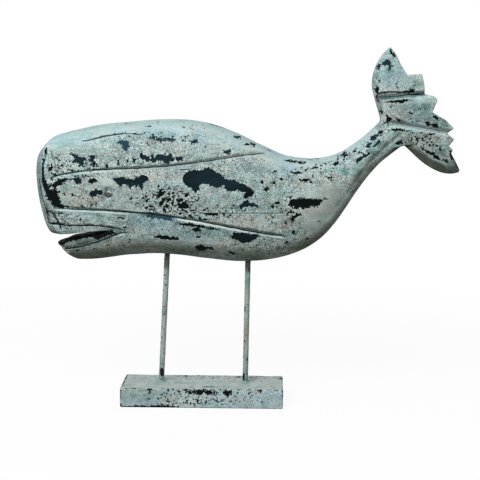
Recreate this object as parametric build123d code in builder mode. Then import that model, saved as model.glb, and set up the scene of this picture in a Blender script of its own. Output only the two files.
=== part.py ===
from build123d import *
import os
from math import sqrt

os.makedirs("parts", exist_ok=True)

# Frame: origin in the middle of the base's underside, +Z up, the head towards -X and the
# tail towards +X. The whale's own left side is the -Y side. All lengths are in millimetres.

# Base
base_length = 195
base_width = 72
base_height = 24
base_edge_radius = 1.5

# Rods: where each one crosses the top of the base (foot) and the belly (top), along X
rod_diameter = 6.35
rod_clearance = 0.04
rod_base_depth = 17
rod_body_depth = 30
rod_end_gap = 0.5
rod_end_chamfer = 0.6
front_rod_foot = -51.7
front_rod_top = -43.6
rear_rod_foot = 51.4
rear_rod_top = 54.5
front_belly_share = 0.043
rear_belly_share = 0

# Bead of glue round the foot of each rod
bead_width = 1.8
bead_height = 2.6
bead_hollow_share = 0.42

# Whale: the body runs from the front of the head to the end of the tail stock
belly_gap = 151
head_reach = 201
body_length = 444
body_height = 170
body_width = 74
face_bulge = 18.5

# Flukes: one flat plate, standing in the plane of the side view
fluke_length = 107
fluke_height = 149
fluke_thickness = 20
fluke_bevel_width = 10
fluke_bevel_depth = 5
gouge_depth = 2.2
wide_gouge_radius = 7
narrow_gouge_radius = 5.5

# Carved lines on the body
groove_width = 3.6
lip_line_width = 2.4
groove_depth = 1.8

# Eyes: a domed stud in a shallow dish
eye_dish_diameter = 17
eye_dish_depth = 1.8
eye_diameter = 8
eye_dome_height = 2.4
eye_rim_height = 1
eye_pit_diameter = 1.6
eye_pit_depth = 0.7
eye_shank_diameter = 3
eye_shank_length = 14
eye_clearance = 0.04

overrun = 20

belly_level = base_height + belly_gap
half_body = body_width / 2
face_radius = (half_body**2 + face_bulge**2) / (2 * face_bulge)


def side_view(place_shares):
    # a point on the middle plane, from its shares of the body's length and height
    return (place_shares[0] * body_length - head_reach, belly_level + place_shares[1] * body_height)


# Body stations from the head to the tail. Each has its top and bottom point in the side
# view, its half width as a share of half the body's width, and the shares of its height
# that the crown on top and the keel below take up.
station_shares = (
    ((-0.020, 0.852), (-0.020, -0.020), 0.90, 0.12),
    ((0.083, 0.909), (0.083, -0.006), 0.94, 0.12),
    ((0.205, 0.970), (0.205, 0.017), 0.98, 0.13),
    ((0.318, 0.998), (0.318, 0.049), 1.00, 0.13),
    ((0.442, 0.990), (0.454, 0.021), 1.00, 0.13),
    ((0.555, 0.894), (0.578, -0.001), 0.97, 0.13),
    ((0.645, 0.784), (0.674, 0.037), 0.89, 0.15),
    ((0.719, 0.736), (0.761, 0.144), 0.79, 0.17),
    ((0.784, 0.746), (0.821, 0.317), 0.67, 0.20),
    ((0.840, 0.808), (0.881, 0.555), 0.53, 0.25),
    ((0.888, 0.903), (0.933, 0.714), 0.43, 0.29),
    ((0.935, 1.025), (0.998, 0.850), 0.35, 0.31),
    ((0.966, 1.106), (1.030, 0.944), 0.24, 0.31),
)
shoulder_share = 0.80
eye_station_shares = station_shares[2]


def section_plane(station):
    # stands across the body with its origin on the belly line and its own Y up the section
    low = side_view(station[1])
    top = side_view(station[0])
    return Plane(
        origin=(low[0], 0, low[1]),
        x_dir=(0, 1, 0),
        z_dir=(top[1] - low[1], 0, low[0] - top[0]),
    )


def section_height(station):
    low = side_view(station[1])
    top = side_view(station[0])
    return sqrt((top[0] - low[0]) ** 2 + (top[1] - low[1]) ** 2)


def section_lines(station, inset):
    # crowned top and keel with gently bulging sides between them
    height = section_height(station)
    half_width = half_body * station[2] - inset
    shoulder = half_width * shoulder_share
    crown = height * station[3]
    ThreePointArc((-shoulder, crown), (0, 0), (shoulder, crown))
    ThreePointArc((shoulder, crown), (half_width, height / 2), (shoulder, height - crown))
    ThreePointArc((shoulder, height - crown), (0, height), (-shoulder, height - crown))
    ThreePointArc((-shoulder, height - crown), (-half_width, height / 2), (-shoulder, crown))


# Blank that the body is carved from
with BuildPart() as body_blank:
    for station in station_shares:
        with BuildSketch(section_plane(station)):
            with BuildLine():
                section_lines(station, 0)
            make_face()
    loft()

# The same blank, thinner by the depth of the grooves
with BuildPart() as groove_core:
    for station in station_shares:
        with BuildSketch(section_plane(station)):
            with BuildLine():
                section_lines(station, groove_depth)
            make_face()
    loft()

# Waste in front of the face: the side view's front line, set back to both sides along an arc
chin_shares = (
    (0.135, -0.120),
    (0.115, -0.006),
    (0.095, 0.020),
    (0.080, 0.055),
    (0.069, 0.095),
    (0.053, 0.130),
)
face_shares = (
    (0.051, 0.190),
    (0.032, 0.230),
    (0.015, 0.340),
    (0.005, 0.460),
    (0.000, 0.580),
    (0.001, 0.690),
    (0.011, 0.785),
    (0.036, 0.862),
    (0.078, 0.903),
    (0.120, 0.946),
    (0.170, 1.060),
)
face_offset_shares = (-1.04, -0.70, -0.35, 0, 0.35, 0.70, 1.04)

with BuildPart() as face_waste:
    for offset_share in face_offset_shares:
        sideways = offset_share * half_body
        set_back = face_radius - sqrt(face_radius**2 - sideways**2)
        chin = [(side_view(place)[0] + set_back, side_view(place)[1]) for place in chin_shares]
        face = [(side_view(place)[0] + set_back, side_view(place)[1]) for place in face_shares]
        outer = -head_reach - overrun
        with BuildSketch(Plane.XZ.offset(-sideways)):
            with BuildLine():
                Polyline((outer, chin[0][1]), chin[0], chin[1])
                Spline(*chin[1:])
                Line(chin[-1], face[0])
                Spline(*face)
                Polyline(face[-1], (outer, face[-1][1]), (outer, chin[0][1]))
            make_face()
    loft()

# Mouth: a thin wedge sawn right through, closing at the corner of the mouth
mouth_corner_shares = (0.214, 0.206)
upper_lip_shares = ((0.146, 0.200), (0.090, 0.192), (0.010, 0.192))
lower_lip_shares = ((0.146, 0.176), (0.104, 0.157), (0.062, 0.143), (0.010, 0.118))

with BuildPart() as mouth_waste:
    corner = side_view(mouth_corner_shares)
    upper_lip = [side_view(place) for place in upper_lip_shares]
    lower_lip = [side_view(place) for place in lower_lip_shares]
    with BuildSketch(Plane.XZ):
        with BuildLine():
            Spline(corner, *upper_lip)
            Line(upper_lip[-1], lower_lip[-1])
            Spline(*reversed(lower_lip), corner)
        make_face()
    extrude(amount=body_width, both=True)

# Carved lines on both sides of the body: one above the eye, one below it, and the two lips
line_shares = (
    (groove_width, ((0.052, 0.600), (0.230, 0.664), (0.400, 0.698), (0.520, 0.748), (0.620, 0.776))),
    (groove_width, ((0.060, 0.388), (0.170, 0.382), (0.310, 0.352), (0.500, 0.276), (0.668, 0.200))),
    (lip_line_width, ((0.040, 0.285), (0.110, 0.276), (0.190, 0.264), (0.248, 0.228))),
    (lip_line_width, ((0.085, 0.106), (0.130, 0.130), (0.190, 0.174), (0.248, 0.217))),
)

with BuildPart() as groove_waste:
    for line_width, places in line_shares:
        with BuildSketch(Plane.XZ):
            with BuildLine() as middle:
                Spline(*[side_view(place) for place in places])
            trace(middle.line, line_width=line_width)
        extrude(amount=body_width, both=True)
    add(groove_core.part, mode=Mode.SUBTRACT)

# Flukes. Places are shares of the flukes' length and height, counted from the middle of
# the tail stock's end.
stock_top = side_view(station_shares[-2][0])
stock_low = side_view(station_shares[-2][1])
fluke_root = ((stock_top[0] + stock_low[0]) / 2, (stock_top[1] + stock_low[1]) / 2)


def on_fluke(place_shares):
    return (fluke_root[0] + place_shares[0] * fluke_length, fluke_root[1] + place_shares[1] * fluke_height)


upper_edge_shares = (
    (-0.160, 0.080),
    (-0.232, 0.252),
    (-0.262, 0.360),
    (-0.224, 0.503),
    (-0.138, 0.612),
    (-0.066, 0.657),
)
trailing_shares = (
    (-0.066, 0.657),
    (-0.003, 0.594),
    (0.045, 0.522),
    (0.122, 0.438),
    (0.283, 0.446),
    (0.307, 0.370),
    (0.318, 0.287),
    (0.425, 0.271),
    (0.463, 0.242),
    (0.405, 0.147),
    (0.555, 0.085),
    (0.650, 0.018),
    (0.576, -0.022),
    (0.652, -0.068),
    (0.598, -0.122),
    (0.643, -0.152),
    (0.626, -0.180),
    (0.731, -0.317),
    (0.721, -0.332),
)
lower_edge_shares = (
    (0.721, -0.332),
    (0.630, -0.346),
    (0.485, -0.326),
    (0.309, -0.251),
    (0.111, -0.123),
)
inner_root_shares = ((-0.205, -0.165), (-0.235, -0.125))

with BuildPart() as fluke_plate:
    upper_edge = [on_fluke(place) for place in upper_edge_shares]
    trailing = [on_fluke(place) for place in trailing_shares]
    lower_edge = [on_fluke(place) for place in lower_edge_shares]
    inner_root = [on_fluke(place) for place in inner_root_shares]
    with BuildSketch(Plane.XZ):
        with BuildLine():
            Spline(*upper_edge)
            Polyline(*trailing)
            Spline(*lower_edge)
            Polyline(lower_edge[-1], *inner_root, upper_edge[0])
        make_face()
    extrude(amount=fluke_thickness / 2, both=True)
    for which in (0, -1):
        broad_face = fluke_plate.faces().filter_by(Axis.Y).sort_by(Axis.Y)[which]
        leading_edges = broad_face.edges().filter_by(GeomType.BSPLINE)
        chamfer(leading_edges, length=fluke_bevel_width, length2=fluke_bevel_depth, reference=broad_face)

# Two gouged hollows on each face of the flukes, one for each lobe
gouge_shares = (
    (wide_gouge_radius, ((-0.215, 0.250), (0.020, 0.262), (0.370, 0.290))),
    (narrow_gouge_radius, ((-0.080, 0.055), (0.260, 0.020), (0.620, -0.020))),
)

with BuildPart() as gouge_waste:
    for gouge_radius, places in gouge_shares:
        level = fluke_thickness / 2 + gouge_radius - gouge_depth
        run = [Vector(on_fluke(place)[0], -level, on_fluke(place)[1]) for place in places]
        with BuildLine() as run_line:
            ThreePointArc(*run)
        with BuildSketch(Plane(origin=run[0], z_dir=run_line.line % 0)):
            Circle(gouge_radius)
        sweep(path=run_line.line)
    mirror(about=Plane.XZ)

# Rods: foot and top along X, and how far the belly hangs above its lowest level there
rods = {
    "front": (front_rod_foot, front_rod_top, front_belly_share * body_height),
    "rear": (rear_rod_foot, rear_rod_top, rear_belly_share * body_height),
}


def rod_plane(rod):
    # origin where the rod's axis crosses the top of the base, +Z up along the leaning rod
    foot, top, rise = rods[rod]
    return Plane(origin=(foot, 0, base_height), x_dir=(0, 1, 0), z_dir=(top - foot, 0, belly_gap + rise))


def rod_free_length(rod):
    foot, top, rise = rods[rod]
    return sqrt((top - foot) ** 2 + (belly_gap + rise) ** 2)


for rod in rods:
    with BuildPart() as rod_part:
        with BuildSketch(rod_plane(rod).offset(-rod_base_depth)):
            Circle(rod_diameter / 2)
        extrude(amount=rod_base_depth + rod_free_length(rod) + rod_body_depth)
        chamfer(rod_part.edges(), length=rod_end_chamfer)
    rod_part.part.label = rod + "_rod"
    export_step(rod_part.part, "parts/" + rod + "_rod.step")

# Glue beads: a fillet round each rod, level with the top of the base below
for rod in rods:
    with BuildPart() as bead:
        axis_plane = rod_plane(rod)
        inner = rod_diameter / 2 + rod_clearance
        outer = inner + bead_width
        hollow = (inner + bead_width * bead_hollow_share, bead_height * bead_hollow_share)
        with BuildSketch(Plane(origin=axis_plane.origin, x_dir=(0, 1, 0), z_dir=axis_plane.y_dir)):
            with BuildLine():
                Polyline((inner, bead_height), (inner, -bead_height), (outer, -bead_height), (outer, 0))
                ThreePointArc((outer, 0), hollow, (inner, bead_height))
            make_face()
        revolve(axis=Axis(axis_plane.origin, axis_plane.z_dir))
        split(bisect_by=Plane.XY.offset(base_height), keep=Keep.TOP)
    bead.part.label = rod + "_glue_bead"
    export_step(bead.part, "parts/" + rod + "_glue_bead.step")

# Base
with BuildPart() as base_block:
    with BuildSketch():
        Rectangle(base_length, base_width)
    extrude(amount=base_height)
    fillet(base_block.edges(), radius=base_edge_radius)
    for rod in rods:
        with BuildSketch(rod_plane(rod).offset(-rod_base_depth - rod_end_gap)):
            Circle(rod_diameter / 2 + rod_clearance)
        extrude(amount=rod_base_depth + overrun, mode=Mode.SUBTRACT)
base_block.part.label = "base_block"
export_step(base_block.part, "parts/base_block.step")

# Eyes: each dish is at the widest place of the head, and its stud's flat seat is let into
# the bottom by half the height of the stud's rim
eye_low = side_view(eye_station_shares[1])
eye_top = side_view(eye_station_shares[0])
eye_place = ((eye_low[0] + eye_top[0]) / 2, (eye_low[1] + eye_top[1]) / 2)
eye_half_width = half_body * eye_station_shares[2]
eye_seat = eye_half_width - eye_dish_depth - eye_rim_height / 2
dish_radius = ((eye_dish_diameter / 2) ** 2 + eye_dish_depth**2) / (2 * eye_dish_depth)


def eye_plane(side):
    # on the seat, +Z pointing out of the head
    return Plane(origin=(eye_place[0], side * eye_seat, eye_place[1]), x_dir=(1, 0, 0), z_dir=(0, side, 0))


for eye, side in (("left_eye", -1), ("right_eye", 1)):
    with BuildPart() as eye_part:
        seat = eye_plane(side)
        head = eye_diameter / 2
        shank = eye_shank_diameter / 2
        crest = eye_rim_height + eye_dome_height
        dome_radius = (head**2 + eye_dome_height**2) / (2 * eye_dome_height)
        with BuildSketch(Plane(origin=seat.origin, x_dir=(1, 0, 0), z_dir=(0, 0, side))):
            with BuildLine():
                Polyline((0, crest), (0, -eye_shank_length), (shank, -eye_shank_length), (shank, 0))
                Polyline((shank, 0), (head, 0), (head, eye_rim_height))
                RadiusArc((head, eye_rim_height), (0, crest), -dome_radius)
            make_face()
        revolve(axis=Axis(seat.origin, seat.z_dir))
        with BuildSketch(seat.offset(crest - eye_pit_depth)):
            Circle(eye_pit_diameter / 2)
        extrude(amount=eye_pit_depth + overrun, mode=Mode.SUBTRACT)
    eye_part.part.label = eye
    export_step(eye_part.part, "parts/" + eye + ".step")

# Whale: the blank with its flukes, less all the waste, the eye seats and the rod holes
with BuildPart() as whale_body:
    add(body_blank.part)
    add(fluke_plate.part)
    add(face_waste.part, mode=Mode.SUBTRACT)
    add(mouth_waste.part, mode=Mode.SUBTRACT)
    add(groove_waste.part, mode=Mode.SUBTRACT)
    add(gouge_waste.part, mode=Mode.SUBTRACT)
    for side in (-1, 1):
        seat = eye_plane(side)
        dish_offset = side * (eye_half_width - eye_dish_depth + dish_radius)
        with Locations((eye_place[0], dish_offset, eye_place[1])):
            Sphere(dish_radius, mode=Mode.SUBTRACT)
        with BuildSketch(seat):
            Circle(eye_diameter / 2 + eye_clearance)
        extrude(amount=overrun, mode=Mode.SUBTRACT)
        with BuildSketch(seat.offset(-eye_shank_length - eye_clearance)):
            Circle(eye_shank_diameter / 2 + eye_clearance)
        extrude(amount=eye_shank_length + overrun, mode=Mode.SUBTRACT)
    for rod in rods:
        with BuildSketch(rod_plane(rod).offset(rod_free_length(rod) - overrun)):
            Circle(rod_diameter / 2 + rod_clearance)
        extrude(amount=overrun + rod_body_depth + rod_end_gap, mode=Mode.SUBTRACT)
whale_body.part.label = "whale_body"
export_step(whale_body.part, "parts/whale_body.step")
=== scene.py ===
import bpy, bmesh, math, random
import numpy as np
from mathutils import Matrix, Vector


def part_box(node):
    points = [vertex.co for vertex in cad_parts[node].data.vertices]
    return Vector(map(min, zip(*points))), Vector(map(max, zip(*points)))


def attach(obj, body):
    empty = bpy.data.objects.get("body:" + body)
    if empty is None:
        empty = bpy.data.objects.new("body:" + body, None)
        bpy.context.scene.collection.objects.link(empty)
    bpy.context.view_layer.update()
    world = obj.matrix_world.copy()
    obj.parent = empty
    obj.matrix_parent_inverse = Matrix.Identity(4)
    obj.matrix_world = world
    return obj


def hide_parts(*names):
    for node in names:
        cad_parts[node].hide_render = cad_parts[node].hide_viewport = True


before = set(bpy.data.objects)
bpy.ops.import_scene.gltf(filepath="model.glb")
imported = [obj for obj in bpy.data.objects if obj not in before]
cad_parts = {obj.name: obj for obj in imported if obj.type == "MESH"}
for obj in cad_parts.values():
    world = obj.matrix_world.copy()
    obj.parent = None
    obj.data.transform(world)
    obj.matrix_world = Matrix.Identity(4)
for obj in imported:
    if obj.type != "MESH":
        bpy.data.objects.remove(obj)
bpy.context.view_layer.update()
mm = 0.001

# The photographed side is -Y and the head points to -X. Tables and shapes are in mm, seen from that side.


def placed(name, data):
    made = bpy.data.objects.new(name, data)
    bpy.context.collection.objects.link(made)
    return made


def settled(holder):
    # the mesh that an object's modifiers leave; the object itself goes
    mesh = bpy.data.meshes.new_from_object(holder.evaluated_get(bpy.context.evaluated_depsgraph_get()))
    bpy.data.objects.remove(holder)
    return mesh


def studio():
    # camera where the photograph was taken from: metres and degrees
    shot = {"place": (0.0818, -1.560, 0.4064), "lens": 97.5, "sensor": 36, "reach": (0.05, 60),
            "turn": 1.3745, "down": 7.529, "tilt": 0.346}
    turn, down, tilt = (math.radians(shot[key]) for key in ("turn", "down", "tilt"))
    ahead = Vector((-math.sin(turn) * math.cos(down), math.cos(turn) * math.cos(down), -math.sin(down)))
    level = Vector((math.cos(turn), math.sin(turn), 0))
    upright = level.cross(ahead)
    right = level * math.cos(tilt) + upright * math.sin(tilt)
    up = upright * math.cos(tilt) - level * math.sin(tilt)
    camera = placed("camera", bpy.data.cameras.new("camera"))
    camera.data.lens, camera.data.sensor_width = shot["lens"], shot["sensor"]
    camera.data.clip_start, camera.data.clip_end = shot["reach"]
    camera.matrix_world = Matrix.Translation(shot["place"]) @ Matrix((right, up, -ahead)).transposed().to_4x4()
    bpy.context.scene.camera = camera
    bpy.context.scene.view_settings.view_transform = "Standard"

    # a wide softbox up in front, a weaker one behind; share is of full light on a face turned to the lamp
    lamps = {
        "front": {"at": (-0.85, -1.85, 1.60), "size": 1.4, "share": 0.84, "tone": (1.0, 1.0, 0.99)},
        "behind": {"at": (0.5, 1.7, 1.8), "size": 1.8, "share": 0.24, "tone": (0.97, 0.99, 1.0)},
    }
    middle = Vector((0.05, 0, 0.22))  # what both shine at
    for name, lamp in lamps.items():
        light = bpy.data.lights.new(name, "AREA")
        light.shape, light.size, light.color = "SQUARE", lamp["size"], lamp["tone"]
        away = Vector(lamp["at"]) - middle
        light.energy = lamp["share"] * (math.pi * away.length) ** 2
        holder = placed(name, light)
        holder.location = lamp["at"]
        holder.rotation_euler = away.to_track_quat("Z", "Y").to_euler()


class Wire:
    # a socket that takes part in sums, each of which adds a Math node
    def __init__(self, finish, socket):
        self.finish, self.socket = finish, socket

    def sum(self, operation, first, second):
        return self.finish.node("ShaderNodeMath", {"operation": operation}, {0: first, 1: second})

    def __add__(self, other):
        return self.sum("ADD", self, other)

    def __sub__(self, other):
        return self.sum("SUBTRACT", self, other)

    def __rsub__(self, other):
        return self.sum("SUBTRACT", other, self)

    def __mul__(self, other):
        return self.sum("MULTIPLY", self, other)

    __radd__, __rmul__ = __add__, __mul__

    def most(self, other):
        return self.sum("MAXIMUM", self, other)

    # 0 below low, 1 above high, with a soft shoulder
    def step(self, low, high):
        return self.finish.node("ShaderNodeMapRange", {"interpolation_type": "SMOOTHSTEP"},
                                {"Value": self, "From Min": low, "From Max": high})


class Finish:
    # the nodes of one material or of the world
    def __init__(self, owner):
        owner.use_nodes = True
        self.owner, self.tree = owner, owner.node_tree
        self.tree.nodes.clear()

    def node(self, kind, settings=None, sockets=None, out=0):
        made = self.tree.nodes.new(kind)
        for key, value in (settings or {}).items():
            setattr(made, key, value)
        for key, value in (sockets or {}).items():
            if isinstance(value, Wire):
                self.tree.links.new(value.socket, made.inputs[key])
            else:
                made.inputs[key].default_value = value
        return Wire(self, made.outputs[out]) if made.outputs else None

    def mix(self, share, first, second):
        return self.node("ShaderNodeMix", {"data_type": "RGBA", "blend_type": "MIX", "clamp_factor": True},
                         {0: share, 6: first, 7: second}, out=2)

    # colours of a look laid over the first one, each by its share
    def layers(self, look, colour, *coats):
        for share, tone in coats:
            colour = self.mix(share, colour, look[tone])
        return colour

    def vector(self, operation, first, second):
        return self.node("ShaderNodeVectorMath", {"operation": operation}, {0: first, 1: second})

    def place(self):
        return self.node("ShaderNodeTexCoord", out="Object")

    def field(self, name):
        return self.node("ShaderNodeAttribute", {"attribute_name": name}, out="Fac")

    def noise(self, place, size, detail=2.0, rough=0.55, out=0):
        return self.node("ShaderNodeTexNoise", None, {
            "Vector": place, "Scale": 1 / (size * mm), "Detail": detail, "Roughness": rough}, out)

    # cells of a paint film: distance to the nearest middle, or to the nearest crack
    def cells(self, place, size, feature="F1", out="Distance"):
        return self.node("ShaderNodeTexVoronoi", {"feature": feature}, {
            "Vector": place, "Scale": 1 / (size * mm)}, out)

    # and a random number for each cell
    def lot(self, place, size):
        return self.node("ShaderNodeSeparateColor", None, {0: self.cells(place, size, out="Color")})

    # 1 for light rays of the kinds named
    def rays(self, kind, *others):
        found = self.node("ShaderNodeLightPath", out="Is %s Ray" % kind)
        return found.most(self.rays(*others)) if others else found

    def shader(self, colour, roughness, height, depth, more=None):
        bump = self.node("ShaderNodeBump", None, {"Height": height, "Distance": depth * mm, "Strength": 1.0})
        sockets = {"Base Color": colour, "Roughness": roughness, "Normal": bump}
        sockets.update(more or {})
        return self.close(self.node("ShaderNodeBsdfPrincipled", None, sockets))

    def close(self, surface, kind="ShaderNodeOutputMaterial"):
        self.node(kind, None, {"Surface": surface})
        return self.owner


def rgb(red, green, blue):
    # a colour as it shows on screen, 0 to 255
    def linear(part):
        part = part / 255
        return part / 12.92 if part <= 0.04045 else ((part + 0.055) / 1.055) ** 2.4
    return (linear(red), linear(green), linear(blue), 1.0)


def backdrop():
    # white for the eye, grey for the light that bounces up under the belly; the floor's reach is in metres
    floorLook = {"seen": rgb(250, 251, 251), "grain": rgb(240, 241, 241), "bounce": rgb(104, 102, 90),
                 "share": 0.90, "clear": (0.35, 1.1), "reach": 9.0}
    airLook = {"lit": ((0.97, 0.99, 1.0, 1), 0.38), "seen": ((1, 1, 1, 1), 1.0)}
    finish = Finish(bpy.data.materials.new("studioFloor"))
    direct = finish.rays("Camera", "Glossy", "Transmission")
    place = finish.place()
    tone = finish.mix(finish.noise(place, 40, 3) * 0.04, floorLook["seen"], floorLook["grain"])
    tone = finish.mix(direct, floorLook["bounce"], tone)
    matt = finish.node("ShaderNodeBsdfDiffuse", None, {"Color": tone})
    glow = finish.node("ShaderNodeEmission", None, {"Color": (1, 1, 1, 1), "Strength": 1.0})
    # the shadow is kept near the base, further out the floor runs into the white behind it
    away = finish.node("ShaderNodeVectorMath", {"operation": "LENGTH"}, {0: place}, out="Value")
    share = floorLook["share"] + away.step(*floorLook["clear"]) * (1 - floorLook["share"])
    both = finish.node("ShaderNodeMixShader", None, {0: direct * share, 1: matt, 2: glow})
    mesh = bpy.data.meshes.new("floor")
    reach = floorLook["reach"]
    mesh.from_pydata([(x * reach, y * reach, 0) for x, y in ((-1, -1), (1, -1), (1, 1), (-1, 1))], [], [(0, 1, 2, 3)])
    mesh.materials.append(finish.close(both))
    floor = placed("floor", mesh)

    finish = Finish(bpy.data.worlds.new("studioAir"))
    airs = [finish.node("ShaderNodeBackground", None, {"Color": colour, "Strength": strength})
            for colour, strength in airLook.values()]
    direct = finish.rays("Camera", "Transmission")
    both = finish.node("ShaderNodeMixShader", None, {0: direct, 1: airs[0], 2: airs[1]})
    bpy.context.scene.world = finish.close(both, "ShaderNodeOutputWorld")


def smoothStep(value, low, high):
    share = np.clip((value - low) / (high - low), 0, 1)
    return share * share * (3 - 2 * share)


def places(mesh):
    # where the vertices are, and their normals
    flat = np.zeros(len(mesh.vertices) * 3)
    mesh.vertices.foreach_get("co", flat)
    points = flat.reshape(-1, 3) / mm
    mesh.vertices.foreach_get("normal", flat)
    return points, flat.reshape(-1, 3).copy()


def putBack(mesh, points):
    mesh.vertices.foreach_set("co", (points * mm).ravel())
    mesh.update()


def give(mesh, **fields):
    # values at the vertices, which the material reads by name
    for name, values in fields.items():
        layer = mesh.attributes.new(name, "FLOAT", "POINT")
        layer.data.foreach_set("value", np.asarray(values, dtype=np.float32))


def piece(name, mesh, slot, material, *nodes):
    # names the piece, puts it on the CAD body and takes the nodes' place
    mesh.name = name
    made = placed(name, mesh)
    mesh.materials.clear()
    mesh.materials.append(material)
    for polygon in mesh.polygons:
        polygon.use_smooth = True
    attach(made, "root")
    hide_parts(*nodes)


def carved(node, voxel, smoothing):
    # an even skin over the CAD solid, with its sharpest edges eased as sanded wood has them
    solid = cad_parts[node]
    blank = placed("blank", solid.data.copy())
    skin = blank.modifiers.new("skin", "REMESH")
    skin.mode, skin.voxel_size = "VOXEL", voxel * mm
    close = blank.modifiers.new("close", "SHRINKWRAP")
    close.target, close.wrap_method, close.wrap_mode = solid, "NEAREST_SURFACEPOINT", "ON_SURFACE"
    ease = blank.modifiers.new("ease", "SMOOTH")
    ease.factor, ease.iterations = smoothing
    return settled(blank)


def waviness(points, seed, wavelengths, count=14):
    # slow rise and fall of a hand-cut face, about -1 to 1
    draw = random.Random(seed)
    total = np.zeros(len(points))
    for _ in range(count):
        heading = Vector((draw.gauss(0, 1), draw.gauss(0, 1), draw.gauss(0, 1))).normalized()
        length = draw.uniform(*wavelengths)
        total += np.sin(points @ np.array(heading) * (2 * math.pi / length) + draw.uniform(0, 2 * math.pi))
    return total / math.sqrt(count * 2)


farOut = -9.0  # depth of a point that no stroke or outline is near


def outlines(*paths):
    # closed outlines as corners, each from its first corner x, z and the steps that lead on round it
    return [np.array(path, float).reshape(-1, 2).cumsum(axis=0) for path in paths]


def beside(across, along, x0, z0, x1, z1):
    # how far along a line each point is, 0 to 1, and its offset from the line
    dx, dz = x1 - x0, z1 - z0
    share = np.clip(((across - x0) * dx + (along - z0) * dz) / max(dx * dx + dz * dz, 1e-6), 0, 1)
    return share, across - x0 - share * dx, along - z0 - share * dz


def insideStrokes(across, along, strokes):
    # how deep inside the nearest stroke each point is; a stroke is x, z, radius at both ends, or once for a dot
    depth = np.full(across.shape, farOut)
    for stroke in strokes:
        x0, z0, r0, x1, z1, r1 = (*stroke, *stroke)[:6]
        share, offX, offZ = beside(across, along, x0, z0, x1, z1)
        depth = np.maximum(depth, r0 + (r1 - r0) * share - np.hypot(offX, offZ))
    return depth


def insidePatches(across, along, patches, reach=6):
    # the same for closed outlines, each of which is felt up to its reach around it
    depth = np.full(across.shape, farOut)
    for xs, zs in (patch.T for patch in patches):
        near = np.flatnonzero((across > xs.min() - reach) & (across < xs.max() + reach)
                              & (along > zs.min() - reach) & (along < zs.max() + reach))
        x, z = across[near], along[near]
        away, inside = np.full(x.shape, -farOut), np.zeros(x.shape, bool)
        for x0, z0, x1, z1 in zip(xs, zs, np.roll(xs, -1), np.roll(zs, -1)):
            away = np.minimum(away, np.hypot(*beside(x, z, x0, z0, x1, z1)[1:]))
            if z1 != z0:
                inside ^= ((z0 > z) != (z1 > z)) & (x < x0 + (z - z0) * (x1 - x0) / (z1 - z0))
        depth[near] = np.maximum(depth[near], np.where(inside, away, -away))
    return depth


def spread(across, along, patches):
    # soft round patches: x, z, half width, half height, strength
    total = np.zeros(across.shape)
    for x, z, wide, high, strength in patches:
        away = np.hypot((across - x) / wide, (along - z) / high)
        total = np.maximum(total, strength * (1 - smoothStep(away, 0.55, 1.2)))
    return total


def scatter(draw, count, across, levels, sizes, runs, drift, taper):
    # strokes put by a fixed draw; of several ranges of level each takes one
    strokes = []
    for _ in range(count):
        at = draw.uniform(*across)
        drawn = [draw.uniform(*each) for each in levels]
        level = draw.choice(drawn) if len(drawn) > 1 else drawn[0]
        size = draw.uniform(*sizes)
        strokes.append((at, level, size, at + draw.uniform(*runs), level + draw.uniform(-drift, drift), size * taper))
    return strokes


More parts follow.
